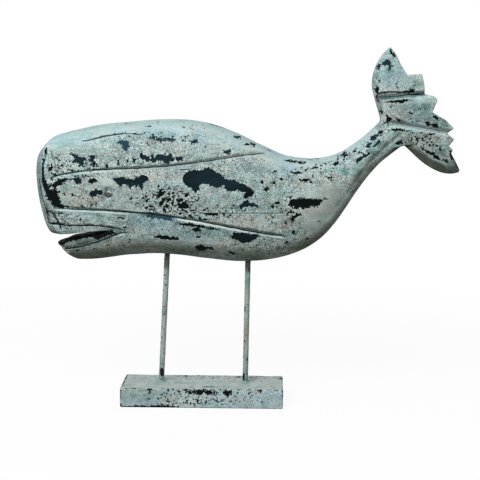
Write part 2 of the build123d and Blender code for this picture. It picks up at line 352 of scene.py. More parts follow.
# places where the top coat is gone on the whale's shown side
nearPatches = outlines(
    (-187, 278, 1, -4, 2, -4, 3, -3, 0, -3, 4, -1, 4, 0, 1, -3, 4, 1, -3, -5, 3, -2, -2, -3, 3, -3, -2, -2, 4, -1,
     4, -3, -9, -1, -2, 2, -3, -1, -3, 3, -2, 3, -3, 2, -1, 4, -1, 4, -2, 4, -1, 4, -1, 6, -0.5, 6, -0.5, 5, 1, 6,
     0.6, 8, 0.8, 3, 0.8, -3, -0.9, -6, -0.5, -6, 0.4, -4),
    (-157, 305, 5, 0, 5, -4, 3, 1, 5, -1, 2, -3, -4, -2, 1, -4, 2, -2, -4, 1, -3, 3, -4, 3, -3, -3, -2, 2, 5, 3, -3, 3),
    (-133, 302, 4, 2, 2, -1, 1, -3, -2, -3, 2, -2, 3, -3, -5, -1, -4, 1, 2, 3, -3, 3, 2, 2),
    (-178, 273, 4, -1, 3, 1, 3, 2, 7, 0.6, 5, 0.4, -5, -1.4, -2, -2.6, -3, -2, 5, -1, -5, 0, -4, -1, -2, -2, 0, -3,
     -3, -1, -1, 4, -3, 1, 3, 1, 0, 3),
    (-152, 275, 6, 2, 4, -2, -2, -5, -5, 0), (-134, 274, 3, 1, 3, 2, 3, -2, 2, -2, -4, 0, -3, -2, -2, 1),
    (-133, 259, 2, 2, 4, 1, 1, 2, 2, -1, 1, -2, 2, 1, 3, 0, 0, -3, -1, -1, -2, -1, -2, 2, -2, -3, -5, -1, -3, 2),
    (-181, 287, 2, 2, 1, -2, -1, -2, -2, 0), (-181, 292, 2, -1, 1, 2, 1, -1, -1, -2), (-168, 291, 2, 1, 2, -1, -2, -2),
    (-175, 279, 1, 3, 2, -3), (-154, 256, 1, 2, 1, -2, -1, -1), (-143, 244, 3, 0, 3, -2, -3, 1),
    (-174, 236, 5, -1, 4, 0, -1, -1, -3, 0), (-145, 230, 2, -2, -1, -1),
    (-101, 319, 5, 3, 4, -2, 3, 1, 3, -3, -1, -5, -2, -4, -4, 1, 0, 5, -4, 2),
    (-62, 323, 0, 4, 5, -1, 4, -2, 5, 1, 6, -1, 6, 1, 6, -2, -6, -3, -6, 1, -6, -1, -5, 1, -5, 1),
    (-14, 321, 5, 2, 4, -1, -1, -3, -6, 0), (-24, 322, 3, 1, 0, -2, -2, 0),
    (-74, 302, 2, 2, 1, 3, 1, -2, 4, -1, 4, -2, 1, -2, 1, 1, 0, 3, 2, 1, 1, -4, 2, 0, 1, 3, 4, 2, 4, -2, 4, 0, 5, 1,
     2, -3, 3, -2, 2, 2, 3, 0, 4, 0, 1, -2, -2, -1, -5, -1, -2, 1, -4, -1, -5, 0, -1, -3, -4, 1, -2, 2, -4, -1, -2, 2,
     -2, -3, -3, 1, -4, 1, -4, 0, -4, 0, -2, 2),
    (-104, 276, 4, 1, 5, 1, 3, -2, 5, 0, 4, -1, 4, -1, 0, 4, 5, 0, 2, 3, 3, 0, 4, -2, 2, -4, -4, -1, -3, -3, 0, -5,
     -2, -2, -1, 3, -2, 2, -2, -2, -4, 3, -3, -1, -1, -3, -2, 2, -2, 2, -2, 0, -1, 2, -2, -2, -1, -4, -2, 3, -2, 2,
     -3, 2),
    (-114, 291, 1, 2, 3, -1, 0, -2, -2, -1), (-126, 293, 3, 0, 0, -2, -3, 0),
    (-82, 302, 1, -2, 2, -1, -1, -3, -2, 1, 0, 2), (-88, 299, 1, 0, 0, -3, -1, -1), (-100, 295, 1, 1, 1, -4, -1, 0),
    (-85, 254, 3, 0, 0, -2, -2, 0),
    (-22, 278, 2, 4, 6, 4, 6, 1, 6, -1, 4, 1, 1, 2, 6, 1, 6, -3, 3, -3, 5, -3, 4, -3, 5, -3, 4, 2, 3, -3, 5, -2, 5, -1,
     4, -3, 5, -3, 2, -4, -1, -4, -4, 0, -3, -3, -3, 4, 2, 3, -5, 1, -2, 4, -4, -2, -3, -1, -6, 1, -4, 2, -1, 4, -3, 0,
     -3, -3, -4, 1, -6, 1, -2, 2, -6, 1, -4, -2, -2, -6, -3, -3, -3, 2, -3, 4, -5, 2, -3, 4),
    (44, 245, 4, 3, 3, 3, 3, 1, 2, -3, 5, -1, 4, -1, 3, -3, -6, 1, -5, 0, -5, -1, -4, 0, -1, -3, -1, 1),
    (24, 308, 4, 2, 5, 0, 1, -3, -6, 0), (1, 236, 20, 0, -2, -2, -5, 0, -4, 0, -3, 1), (73, 264, 3, 3, 2, 2, -1, -6),
    (87, 249, 4, 1, 0, -2, -4, 0),
    (-26, 224, 6, 0, 6, 0, 6, -1, 9, -2, 9, -2, 9, -2, -9, 0, -9, 2, -9, 1, -9, 1, -9, 1),
    (-12, 217, 4, 1, 7, -1, -2, -2, -4, -1),
    (35, 207, 2, 6, 7, -1, 10, 0, 5, -1, 7, 0, 1, -2, -6, -4, -4, -3, -9, -1, -6, 3, -3, 2),
    (-8, 194, 4, 3, 5, 0, 3, -2, 10, -1, -4, -1, -4, -1, -4, -2, -5, 0),
    (-58, 207, 5, 1, 5, 0.6, 7, -1, 3, -1.6, 2, 0.8, 8, -0.2, 0, -2.8, -8, -0.2, -3, 1, -10, 0, -6, 1),
    (31, 190, 5, -1, 4, -2, -4, -1, -4, 2),
    (104, 250, 1, 2, 3, 1, 2, 0, 2, -1, 5, 2, 1, -1, 3, 1, 4, -1, 3, 1, 3, -1, 6, 0, 2, 0, 4, 0, -1, -2, -1, -1, -2, -3,
     -3, -1, -3, -2, -2, 1, -4, -1, -4, -1, -3, -1, -2, 0, -2, 2, -2, -2, -2, 1, -3, 2, -2, 1, -1, -1, 1, -2, -1, 0,
     -1, 3, -2, 1),
    (102, 254, 2, 2, 2, 0, 0, -1, -3, -1), (86, 249, 3, 1, 2, -1, -2, -1, -2, 0),
    (104, 239, 1, 2, 2, -2, -1, -1, -4, -2, -1, 0),
    (106, 233, 3, 1, 0, 2, 2, -1, 2, 2, 2, -1, 3, -1, -3, -1, -2, -2, -3, -1, -1, -2, -2, -2, -1, 2, -2, 2, 3, 0),
    (106, 213, 2, 2, 2, -4, -2, 1), (144, 254, 4, 0, -1, -1), (99, 201, 2, 1, 1, -1, -2, -1), (95, 193, 4, 1, -2, -1),
    (-53, 257, 2, 1, 0, 3, 2, 1, 0, 3, 3, -1, -1, -3, 3, -1, -2, -2, -3, -1, -1, -3, -3, 0),
    (-50, 248, 2, 1, 1, 2, 0, 4, 3, -1, 0, -3, -2, -3, 0, -2, -3, -1, -1, 1),
    (-42, 253, 3, 1, 2, 0, 0, -3, -3, 0, -2, 1), (-46, 244, 2, 1, 3, 1, 3, 0, -1, -2, -3, -2, -3, 1),
    (-27, 252, 2, 2, 2, 0, 1, -2, -2, -2), (-21, 257, 2, 2, 2, 1, 2, 1, -1, -4, -2, -2, -2, 1),
    (-33, 244, 3, 2, 3, 2, 3, 0, 3, 2, 3, -1, 0, -2, 3, -1, 1, -2, -2, -1, -3, 0, -1, -2, -3, 1, -3, 0, -3, 1, 1, 1,
     -1, 1, -2, -1),
    (-63, 244, 2, 1, 4, -1, 0, -1, -4, 0), (-38, 238, 2, 2, 0, -2, -1, -1), (-28, 236, 3, 1, 1, -1, -1, -2, -2, 0),
    (-15, 233, 3, 0, 2, -2, -4, 0), (-4, 230, 1, 2, 1, -1, 2, -1, -2, -1), (2, 239, 1, 3, 2, 0, 0, -2, -2, -1),
    (-65, 251, 1, 2, 2, 0, -1, -2), (-52, 269, 1, 0, 0, -2, -1, 0), (-58, 258, 1, 0, 1, -2, -1, 0),
    (-67, 257, 2, -1, 0, -1, -2, 1), (-36, 248, 1, 1, 1, -2, -2, -1), (-35, 252, 2, 1, 0, -1, -1, -1),
    (-58, 239, 3, 1, -2, -2), (1, 229, 3, 1, 3, -1, -3, -1), (-25, 260, 3, 1, -2, -1), (-20, 239, 2, -1, 1, -1, -2, 0),
    (-138, 206, 10, 3, 6, 1, 5, 1, 5, 1, 5, 1, 5, -1, -7, -3, -2, -1, -1, 2, -4, -2, -4, -2, -3, -2, -5, 0, -3, 2,
     -3, 1),
    (-147, 228, 1, 1, 0, -2), (-145, 228, 2, 0, 0, -2), (-97, 230, 2, 0, 3, -1, -3, -1),
    (-95, 220, 2, -1, 3, 0, -2, -1), (96, 300, 3, -2, 5, 1, 3, -1, 6, -1, -6, -1, -4, 1, -4, 0),
    (114, 296, 4, -1, 3, 0, -3, -1), (105, 285, 3, -1, 7, 2, 1, -2, -1, -1, -6, 0),
    (115, 277, 5, -1, 3, 1, 6, -2, 1, -2, -5, 1, -3, 0, -7, 2),
    (127, 288, 2, 2, 7, 2, 6, 2, 8, 2, -2, -2, -6, -2, -6, -2, -6, -2), (121, 287, 4, 4, 1, -2, -3, -2),
    (152, 293, 5, 2, 4, 2, 0, -2, -3, -2),
    (160, 300, 1, 4, 4, 2, 4, 4, 2, -1, 0, -3, 4, 1, 0, -2, -4, -3, -3, -3, -2, 0, 1, 3, -3, 1, -2, -1, -1, -3),
    (179, 309, 2, 2, 1, -1, -2, -2), (184, 307, 2, 2, 2, -1, -2, -1),
    (182, 299, 3, 3, 3, 2, 3, 4, 4, -2, 2, 3, 1, -2, -3, -3, -4, -1, -3, -3, -2, -2, -3, -1),
    (194, 315, 1, 3, 4, 1, 2, 3, -2, -5, -2, -2), (199, 324, 2, 3, 3, 1, 2, -3, -2, -2, -3, 0),
    (201, 315, 3, 2, 1, 2, 4, 4, 2, -2, -3, -3, -3, -2, -2, -2), (205, 329, 3, 1, 1, -2, -2, 0),
    (209, 332, 3, 2, 2, -1, -2, -3, -1, 0), (149, 279, 1, 0, 2, -2, -2, 0), (138, 289, 2, 1, 3, -2, -4, 0))
# and on the flukes
flukePatches = outlines(
    (234, 319.5, 3, 2, 2, -1.5, -2, -2), (294, 310, 3, -4, 2, -6, -2, 0, -2, 3),
    (220, 428, 1, 1, 2, -3, 2, -2, 2, -4, -2, -1, -1, 3, -2, 2),
    (211, 414, 3, 1, 2, 3, 2, -1, 0, -2, 3, -1, 1, -6, -2, -2, -1, 0, 0, 4, -3, 2, -1, -2, -3, 1),
    (205, 409, 2, 4, 3, -2, -2, -5, -1, -1), (207, 393, 1, 1, 1, -4, -1, 0),
    (202, 384, 2, -2, 1, 3, 2, 0, 1, -5, -1, -3, -3, 0, 0, 3), (233, 379, 6, 2, 5, 1, 2, 2, 4, -2, 0, -3, -5, 0, -6, 0),
    (215, 367, 9, 2, 15, 2, 9, 0, -9, -2, -4, -3, -8, 2, -10, -1), (228, 388, 2, -2, 3, 2, -3, -3),
    (247, 385, 3, 2, -1, -2), (217, 354, 2, -2, 5, -4, -2, -2, -4, -3, -4, 0, 3, 2, 1, 3),
    (229, 349, 3, -1, 4, -3, -6, 0), (210, 357, 2, 1, 2, -5, -2, 0), (221, 362, 2, 1, 0, -3), (224, 360, 3, -2, -2, -1),
    (243, 354, 6, 2, -1, -2, -3, -1), (263, 344, 3, 1, 3, -2, 7, -1, 6, -4, -4, 0, -7, 2, -6, 0),
    (271, 353, 5, -1, 5, -3, -2, -1, -6, 2), (216, 336, 7, 0, 8, 1, 6, -1, 8, -2, -4, -1, -7, 1, -7, 0, -10, 1),
    (246, 333, 5, 0, -3, -2), (257, 332, 4, 0, -3, -1), (267, 331, 7, -1, -4, -1),
    (260, 314, 5, -2, 5, -2, 7, -4, 6, -4, -1, -3, -3, 1, -5, 3, -7, 5, -6, 3), (285, 301, 5, -2, 1, -3, -2, 0, -2, 3),
    (252, 327, 4, -3, -1, -4, -2, -1, 1, 4), (293, 310, 2, 0, 3, -10, -2, 0, -2, 6), (269, 325, 2, 0, -1, -2),
    (276, 319, 3, -1, -1, -4, -1, 0), (279, 315, 5, -3, -3, -1), (264, 322, 3, 0, 1, -3, -2, 1))
# single chips, as strokes
chips = [
    (93, 277, 1.2), (38, 326, 0.7, 44, 325, 0.8), (51, 317, 0.5, 55, 317, 0.5), (57, 318, 0.8, 61, 316, 1),
    (71, 275, 1, 71, 273, 1), (85, 272, 1), (86, 286, 0.7), (89, 249, 1.2, 90, 249, 1), (83, 244, 0.8, 84, 245, 0.8),
    (63, 258, 0.8), (99, 225, 0.8), (101, 201, 1.3), (125, 205, 1), (139, 227, 0.7), (91, 194, 1), (-34, 260, 1),
    (-148.4, 230.2, 0.4, -147.6, 227.9, 0.5), (-144.2, 227.7, 0.7), (-140, 224.8, 0.4),
    (-142.8, 243.1, 0.5, -139, 242.4, 0.5), (-135.4, 244.2, 0.5), (-131, 244.4, 0.4),
    (-124.9, 246.6, 0.5, -124.7, 244.8, 0.5), (-88.6, 205.3, 0.4, -85.6, 203.3, 0.5), (-87.6, 200.3, 0.5),
    (-128.9, 191.9, 0.5), (-149.8, 189.2, 0.4), (-65, 242, 1.2), (-62, 324, 1, -53, 324, 1),
    (-98, 230, 0.6, -96, 230, 0.6), (150, 278, 0.8), (-130, 178, 1.4, -127, 178, 1.4), (231, 319, 1.6, 235, 321, 1.6),
    (-173.5, 197, 1, -168, 201.5, 1.3), (-172, 194, 0.5, -169, 191, 0.4), (-186, 240, 0.9, -183.5, 232, 0.8),
    (-64, 232.2, 0.8, -38, 228.6, 1.3), (-180, 267, 1.6, -174, 266, 1.4), (-183, 262, 1.2, -181, 259, 1.2),
    (-163, 258, 0.6), (-189, 284, 0.7, -189, 270, 0.7), (-162, 243, 0.6, -159, 242, 0.5),
    (-185, 310, 0.8, -186, 305, 0.8), (-5, 207, 0.5, -2, 207, 0.5), (7, 193, 0.8, 13, 191, 0.5)]
# planes that the carving turned from the light
shadedPlanes = outlines(
    (236.8, 315.3, 3.3, 5.1, 6, -3.3, 6, -4.2, 8.6, -3.5, 8.6, -6.6, 13.7, -5, 8.7, -6.8, 8.5, -1.6, 7.8, -3.3,
     -8, -6.1, -12, -1, -15, 7, -15, 9, -14, 12),
    (172, 262, 9.3, 20, 8.7, 8, 10.1, 6.1, 12.5, 5.7, 9, 6.8, 8.4, 6.3, 7.5, 7, 2.5, -15.9, -8, -4, -14, -12,
     -12, -11, -12, -15, -10, -12))
# soft patches on the whale: x, z, half width, half height, strength
whaleFields = {
    # where the coat broke off in crumbs, and worn patches that kept much of theirs
    "crumb": [
        (-180, 258, 12, 22, 3.2), (-189, 288, 5, 16, 1), (-148, 298, 14, 12, 1.9), (-128, 297, 8, 10, 1.7),
        (-174, 269, 10, 9, 1.3), (-93, 315, 9, 9, 0.7), (-46, 323, 24, 6, 3), (167, 304, 10, 8, 3),
        (-92, 315, 8, 7, 1.2), (-30, 248, 40, 18, 0.8), (-70, 208, 60, 8, 1.2), (125, 248, 26, 9, 1.7),
        (-46, 301, 30, 7, 1.4), (-84, 270, 24, 9, 1.4), (20, 276, 50, 22, 1.3), (20, 215, 60, 12, 0.6),
        (265, 325, 24, 12, 1), (190, 310, 34, 16, 1.2), (108, 297, 16, 4, 1.8), (135, 291, 20, 8, 1.5),
        (231, 379, 26, 4, 1.4), (225, 410, 22, 18, 0.7)],
    "thinned": [
        (-46, 323, 24, 6, 0.9), (107, 298, 12, 4, 0.6), (167, 304, 10, 8, 1.5), (136, 291, 18, 6, 1.1),
        (-175, 253, 6, 9, 0.9), (-92, 315, 6, 7, 0.3), (200, 319, 12, 9, 0.2), (208, 330, 9, 7, 0.3),
        (-8, 321, 10, 6, 0.4)],
    # small flakes gone
    "flake": [
        (-40, 250, 46, 22, 0.38), (10, 238, 60, 12, 0.32), (75, 262, 40, 28, 0.1), (48, 294, 34, 9, 0.2),
        (100, 276, 26, 20, 0.16), (-110, 232, 56, 9, 0.08), (-150, 285, 34, 16, 0.27), (-85, 292, 38, 9, 0.15),
        (20, 312, 36, 10, 0.14), (60, 200, 50, 14, 0.18), (-60, 222, 50, 14, 0.13), (130, 285, 40, 14, 0.2),
        (165, 296, 26, 14, 0.18), (200, 318, 18, 14, 0.2), (262, 322, 22, 9, 0.34), (262, 356, 24, 8, 0.2),
        (225, 395, 22, 20, 0.1), (-140, 250, 34, 14, 0.15), (76, 189, 40, 8, 0.2), (240, 345, 26, 6, 0.16),
        (95, 235, 30, 24, 0.2), (-30, 300, 90, 30, 0.12), (-176, 290, 10, 24, 0.26), (-10, 337, 24, 4, 0.18),
        (-60, 325, 70, 8, 0.22), (-165, 226, 20, 10, 0.24)],
    "teal": [
        (-163, 265, 7, 6, 0.8), (-160, 279.5, 24, 3, 0.7), (-146, 198, 26, 6, 0.6), (258, 361, 12, 8, 0.9),
        (252, 385, 8, 9, 0.7), (284, 343, 10, 6, 0.9), (284, 312, 10, 14, 0.6), (208, 312, 16, 6, 0.9),
        (222, 318, 12, 5, 0.8), (176, 286, 16, 7, 0.9), (188, 296, 12, 6, 0.7), (-102, 216.5, 9, 4, 1),
        (-120, 228, 40, 6, 0.2), (30, 213, 60, 8, 0.5), (66, 242, 34, 6, 0.6), (205, 395, 10, 20, 0.4),
        (240, 372, 28, 5, 0.6), (215, 408, 14, 14, 0.4), (80, 270, 40, 22, 0.12), (-60, 226, 40, 10, 0.25)],
    "cool": [
        (222, 410, 20, 26, 0.5), (-158, 322, 34, 10, 0.3), (-60, 330, 44, 7, 0.5), (20, 322, 40, 10, 0.2),
        (90, 288, 34, 9, 0.3), (112, 286, 34, 14, 0.2), (-60, 224, 50, 8, 0.6), (-20, 212, 50, 8, 0.4),
        (185, 318, 24, 12, 0.4), (262, 345, 30, 20, 0.4), (-20, 262, 40, 14, 0.15), (240, 360, 24, 10, 0.3),
        (30, 250, 40, 14, 0.4), (-192, 270, 8, 60, 0.4)],
    "beige": [
        (-140, 256, 34, 16, 0.8), (-60, 282, 40, 8, 0.7), (60, 226, 60, 10, 0.9), (0, 250, 60, 14, 0.4),
        (120, 240, 40, 20, 0.5), (150, 270, 50, 14, 0.5), (50, 304, 30, 8, 0.5), (262, 322, 24, 14, 0.6),
        (60, 196, 90, 10, 0.6), (-150, 222, 30, 6, 0.5), (228, 368.5, 16, 2, 1), (-110, 196, 40, 8, 0.8)],
    # where the bare undercoat is bluest
    "deep": [
        (20, 276, 46, 20, 0.32), (-84, 273, 26, 11, 0.24), (-50, 300, 30, 8, 0.34), (55, 208, 20, 8, 0.14),
        (-92, 315, 9, 10, 0.95), (215, 412, 16, 10, 0.4), (55, 246, 16, 6, 0.25), (-128, 259, 10, 6, 0.18),
        (185, 315, 40, 24, 0.2), (-148, 298, 24, 14, 0.34), (-46, 323, 26, 6, 0.7), (-8, 321, 9, 6, 0.5),
        (-148, 273, 16, 6, 0.2), (32, 309, 8, 5, 0.6), (200, 322, 12, 9, 0.4), (-50, 230.5, 18, 6, 1),
        (-120, 240, 300, 12, 0.03)],
    # planed places with hardly any crazing
    "smooth": [
        (-150, 315, 50, 12, 0.35), (40, 318, 60, 12, 0.4), (110, 292, 40, 12, 0.3), (-60, 332, 60, 8, 0.3),
        (150, 240, 36, 32, 0.8), (188, 284, 18, 16, 0.8), (-30, 202, 70, 7, 0.3), (230, 316, 14, 8, 0.5),
        (275, 296, 26, 12, 0.7), (-112, 272, 10, 6, 0.8), (-170, 262, 16, 12, 0.3), (250, 372, 30, 7, 0.7),
        (260, 337, 40, 6, 0.8), (215, 405, 20, 24, 0.1)],
    # turned from the light, and the stock's under plane, lit again towards its lower edge
    "shaded": [
        (248, 357, 30, 13, 0.34), (262, 324, 26, 10, 0.36), (286, 344, 14, 10, 0.35), (-150, 199, 28, 8, 0.8),
        (-126, 204, 20, 7, 0.7), (212, 322, 12, 8, 0.25), (150, 254, 22, 16, 0.42), (136, 238, 18, 13, 0.36),
        (283, 303, 18, 9, 0.7), (297, 294, 10, 8, 0.9), (-181, 234, 5, 10, 0.6), (268, 311, 16, 9, 0.5),
        (-168, 211, 22, 3, 0.6), (-185, 238, 5, 12, 0.5), (207, 360, 6, 24, 0.7), (262, 348, 14, 8, 0.45),
        (296, 321, 8, 8, 0.45), (-196, 262, 6, 40, 0.35), (242, 321, 12, 7, 0.6), (-40, 200, 60, 10, 0.12),
        (60, 205, 60, 14, 0.12), (-172, 195, 9, 9, 0.6), (-110, 258, 70, 24, 0.17), (-130, 302, 40, 12, 0.1),
        (122, 222, 30, 16, 0.22)],
    "relit": [
        (188, 262, 16, 12, 1), (200, 277, 14, 12, 1), (214, 293, 14, 12, 1)],
    # less of the painted shade on the faces turned down
    "clean": [
        (102, 183, 34, 10, 0.9), (-69, 185, 34, 9, 0.6), (14, 179, 44, 8, 0.7), (220, 298, 16, 14, 1),
        (188, 262, 26, 16, 0.8), (206, 284, 20, 14, 0.8)],
}
# carved lines, each a smooth curve through its points. In half widths, shift lowers it; how dark the line is (dark
# paint, with painted shade of the cut's upper wall), how pale the lip below it (a painted highlight) and how blue the
# hollow are given as x, strength along it
cuts = {
    "upper": {"through": [(-178, 277), (-99, 288), (-23, 294), (30, 302), (74, 307)], "half": 1.9, "shift": 0.1,
              "dark": [(-178, 0.7), (-150, 0.8), (-138, 0.5), (-128, 1), (-60, 1), (0, 0.85), (50, 0.9), (69, 0.8),
                       (76, 0)],
              "pale": [(-178, 0.5), (-90, 0.5), (-50, 0.15), (74, 0.1)],
              "blue": [(-178, 0.4), (-130, 0), (-80, 0.3), (10, 0.4), (30, 0), (74, 0)]},
    "middle": {"half": 2.1, "shift": 0.25,
               "through": [(-174, 240.6), (-125, 238.7), (-63, 234.8), (21, 222), (102, 208.4)],
               "dark": [(-174, 0.4), (-155, 0.9), (-60, 1), (-30, 0.8), (20, 0.9), (60, 1.1), (94, 0.9), (104, 0)],
               "pale": [(-174, 0.7), (-110, 0.6), (-80, 0.2), (-36, 0), (-24, 1), (50, 1), (70, 0.6), (96, 0.8),
                        (103, 0)],
               "blue": [(-174, 0.1), (-90, 0.1), (-68, 1.3), (-36, 1.5), (-28, 0.1), (50, 0.1), (68, 0.7), (98, 0.7),
                        (104, 0)]},
    "lip": {"through": [(-183, 222.6), (-147, 220.2), (-121, 219.5), (-91, 213.7)], "half": 2.1, "shift": 0.25,
            "dark": [(-183, 1), (-165, 1.3), (-118, 1.3), (-104, 0.9), (-91, 0)],
            "blue": [(-172, 0), (-168, 0.9), (-160, 0.1), (-116, 0.2), (-108, 0.6), (-94, 0.4)]},
    "jaw": {"through": [(-162, 192), (-134, 197.9), (-117, 204), (-102, 210.6)], "half": 2.4, "shift": 0,
            "dark": [(0, 1.3)]},
    "upperGouge": {"through": [(207, 371.5), (230, 373), (268, 378)], "half": 2.2, "shift": 1.2,
                   "dark": [(205, 0.5), (225, 0.7), (260, 0.8), (268, 0.5)],
                   "blue": [(205, 0.7), (230, 0.8), (268, 0.7)]},
    "lowerGouge": {"through": [(219.5, 343), (256, 337), (294, 331)], "half": 2.2, "shift": 1.0,
                   "dark": [(219, 0.2), (240, 0.4), (290, 0.6)], "pale": [(219, 0.15), (290, 0.05)],
                   "blue": [(219, 0.4), (290, 0.5)]},
}
# thin drawn or worn lines: x, z, half width
thinLines = [
    [(-141.4, 319.8, 0.5), (-134, 321, 0.7), (-125.7, 323.3, 0.9), (-116.9, 325.7, 0.9), (-106.9, 327.4, 0.8),
     (-98.6, 328.6, 0.7), (-90.4, 329, 0.5), (-82.5, 328.7, 0.4), (-75.7, 328, 0.5), (-70.4, 328.8, 0.6)],
    [(-162, 274.2, 0.4), (-153.8, 275.7, 0.5), (-141.5, 278.1, 0.4), (-134.8, 279.1, 0.5)],
    [(1.4, 236.3, 0.5), (15.5, 236.4, 0.5), (27.4, 236.5, 0.3), (56.9, 236.8, 0.25), (105.2, 237.3, 0.25)],
    [(-194.2, 274.6, 0.7), (-192.7, 264.7, 0.7), (-190.4, 253.4, 0.7), (-187.9, 243.4, 0.8), (-184.3, 231.1, 0.7),
     (-183.1, 223.6, 0.6)],
    [(-185.1, 301.8, 0.4), (-187.6, 294.3, 0.5), (-188, 287.2, 0.5), (-188.1, 280.1, 0.6), (-187.5, 275.4, 0.7)],
    [(-182.9, 236.6, 1), (-178.7, 237, 1.1), (-176.7, 234, 1.1), (-173.8, 229, 1.1), (-169.8, 223.5, 1),
     (-168, 216.5, 1.1)],
    [(-175.1, 235.4, 0.5), (-167.2, 234.1, 0.6), (-160.2, 233.6, 0.4)],
    [(-153.9, 255.4, 0.3), (-151.1, 256.4, 0.5), (-148.1, 255, 0.4), (-143, 255.6, 0.3)],
    [(-183.1, 222.7, 0.4), (-173.6, 222.8, 0.4), (-169.4, 223.3, 0.4)],
    [(-101.4, 208.8, 0.5), (-97, 210.9, 0.6), (-89.9, 211.8, 0.5)],
    [(-172.5, 194.5, 0.5), (-168, 190.8, 0.6), (-163.5, 187, 0.6)], [(-164, 190, 0.5), (-161, 192.3, 0.5)],
    [(-25.8, 287.8, 0.5), (-16.9, 288, 0.5)],
    [(91.5, 307.2, 0.4), (98, 304.1, 0.4), (104.1, 301.6, 0.4), (117.4, 299.4, 0.4), (129.1, 300.7, 0.3)],
    [(213.4, 378.3, 0.5), (207.2, 377, 0.6), (204.8, 373.9, 0.8), (206.4, 369.6, 0.7), (207.9, 368, 0.6)],
    [(208.6, 377.8, 0.8), (212, 378.8, 1.1), (220.2, 379.6, 1), (226.3, 379.8, 0.9), (233.4, 379.1, 0.9),
     (243.9, 380.6, 0.9), (249.8, 381, 0.7)],
    [(298.2, 299.6, 0.6), (302.1, 292.8, 0.5), (306.2, 286.4, 0.6)],
    [(215.2, 367.8, 0.5), (224.2, 368.7, 0.5), (239, 370.2, 0.5), (247.7, 370.3, 0.4)],
    [(242.8, 377.1, 0.5), (251.1, 376.6, 0.8), (261, 376.3, 0.6)]]


def noLine(across):
    # height above the nearest line and how far off it is, before there is one
    return np.full(across.shape, -farOut), np.full(across.shape, 99.0)


def cutField(across, along):
    # height above the nearest carved line in half widths, and how strong its shades are
    height, nearest = noLine(across)
    shades = {key: np.zeros(across.shape) for key in ("dark", "pale", "blue", "cut")}
    for cut in cuts.values():
        xs, zs = np.array(cut["through"]).T
        # fitted in hundreds of mm, which keeps the powers small
        curve = np.polyfit(xs / 100, zs, len(xs) - 1)
        held = np.clip(across, xs[0], xs[-1])
        slope = np.polyval(np.polyder(curve), held / 100) / 100
        above = (along - np.polyval(curve, held / 100)) / np.sqrt(1 + slope * slope)
        beyond = np.abs(across - held)
        away = np.hypot(above, beyond)
        nearer = away < nearest
        nearest = np.where(nearer, away, nearest)
        height = np.where(nearer, above / cut["half"] - cut["shift"], height)
        fade = (1 - smoothStep(beyond, 0, 3)) * (1 - smoothStep(away / cut["half"], 3, 4))
        for key, shade in shades.items():
            strength = 1 if key == "cut" else np.interp(across, *np.array(cut.get(key, [(0, 0)])).T)
            shades[key] = np.where(nearer, fade * strength, shade)
    return height, shades


def thinField(across, along):
    # signed distance to the nearest thin line in half widths, and 1 close to it
    height, nearest = noLine(across)
    for line in thinLines:
        for (x0, z0, r0), (x1, z1, r1) in zip(line, line[1:]):
            share, offX, offZ = beside(across, along, x0, z0, x1, z1)
            away = np.hypot(offX, offZ)
            nearer = away < nearest
            nearest = np.where(nearer, away, nearest)
            over = np.where((x1 - x0) * offZ > (z1 - z0) * offX, 1, -1)
            height = np.where(nearer, over * away / (r0 + (r1 - r0) * share), height)
    return np.clip(height, -4, 4), 1 - smoothStep(nearest, 1.8, 3.0)


def headFit(points):
    # the lips drawn nearer each other and the jaw made slimmer: stations along x, then for each level up the
    # head its height there and how far it moves
    stations = (-200, -169, -160, -147, -134, -122, -108, -95, -82)
    levels = [
        ((176,) * 9, (0, 0.5, 1.5, 2.0, 1.4, 1.0, 0.6, 0.6, 0.5)),
        ((187, 191.8, 193.6, 196.1, 199.2, 203, 207.4, 211, 212), (0, -1.3, -1.4, -1.4, -1.3, -1, 0.4, 0.3, 0)),
        ((194.2, 199.6, 200.7, 202.6, 204.8, 207, 209.7, 212, 213), (0, 0.3, 2.9, 2.9, 3.5, 3.6, 3.3, 0.3, 0)),
        ((208.2, 208.2, 208.4, 209, 209.7, 209.9, 210.2, 213, 214), (0, 0.6, 0.8, 1.8, 2.1, 3.4, 4.3, 0.3, 0)),
        ((223.9, 223, 222.5, 221.8, 221.2, 220.3, 218.2, 215.2, 215),
         (0, -1.5, -1.6, -1.6, -1.2, -0.7, -0.6, -0.3, 0)),
        ((232,) * 9, (0,) * 9)]
    # a more sloped brow, a lower snout and a shorter, blunter tip of the jaw: x, z, reach, move in x and z
    pulls = ((-192, 318, 13, 1.8, -1.0), (-184, 210, 9, -0.6, -1.7), (-175, 197, 7, 1.6, -1.2))
    # the middle groove set lower: level, half height, drop; the jaw's tip made thicker up to a half width
    groove, jaw = {"level": 238, "half": 8, "drop": 1.4}, {"thicker": 0.3, "most": 25}

    x, y, z = points.T
    rows = [(np.interp(x, stations, level), np.interp(x, stations, move)) for level, move in levels]
    move = rows[0][1].copy()
    for (low, lowMove), (high, highMove) in zip(rows, rows[1:]):
        move += np.clip((z - low) / (high - low), 0, 1) * (highMove - lowMove)
    z += move * smoothStep(-x, 76, 90)
    for atX, atZ, reach, alongX, alongZ in pulls:
        near = np.exp(-(np.hypot(x - atX, z - atZ) / reach) ** 2)
        x += near * alongX
        z += near * alongZ
    lowered = smoothStep(x, -165, -125) * (1 - smoothStep(x, -80, -50))
    z -= groove["drop"] * lowered * np.exp(-((z - groove["level"]) / groove["half"]) ** 2)
    tip = smoothStep(-x, 156, 172) * (1 - smoothStep(z, 203, 208))
    limit = np.maximum(np.abs(y), jaw["most"])
    y[:] = np.clip(y * (1 + jaw["thicker"] * tip), -limit, limit)
    return points


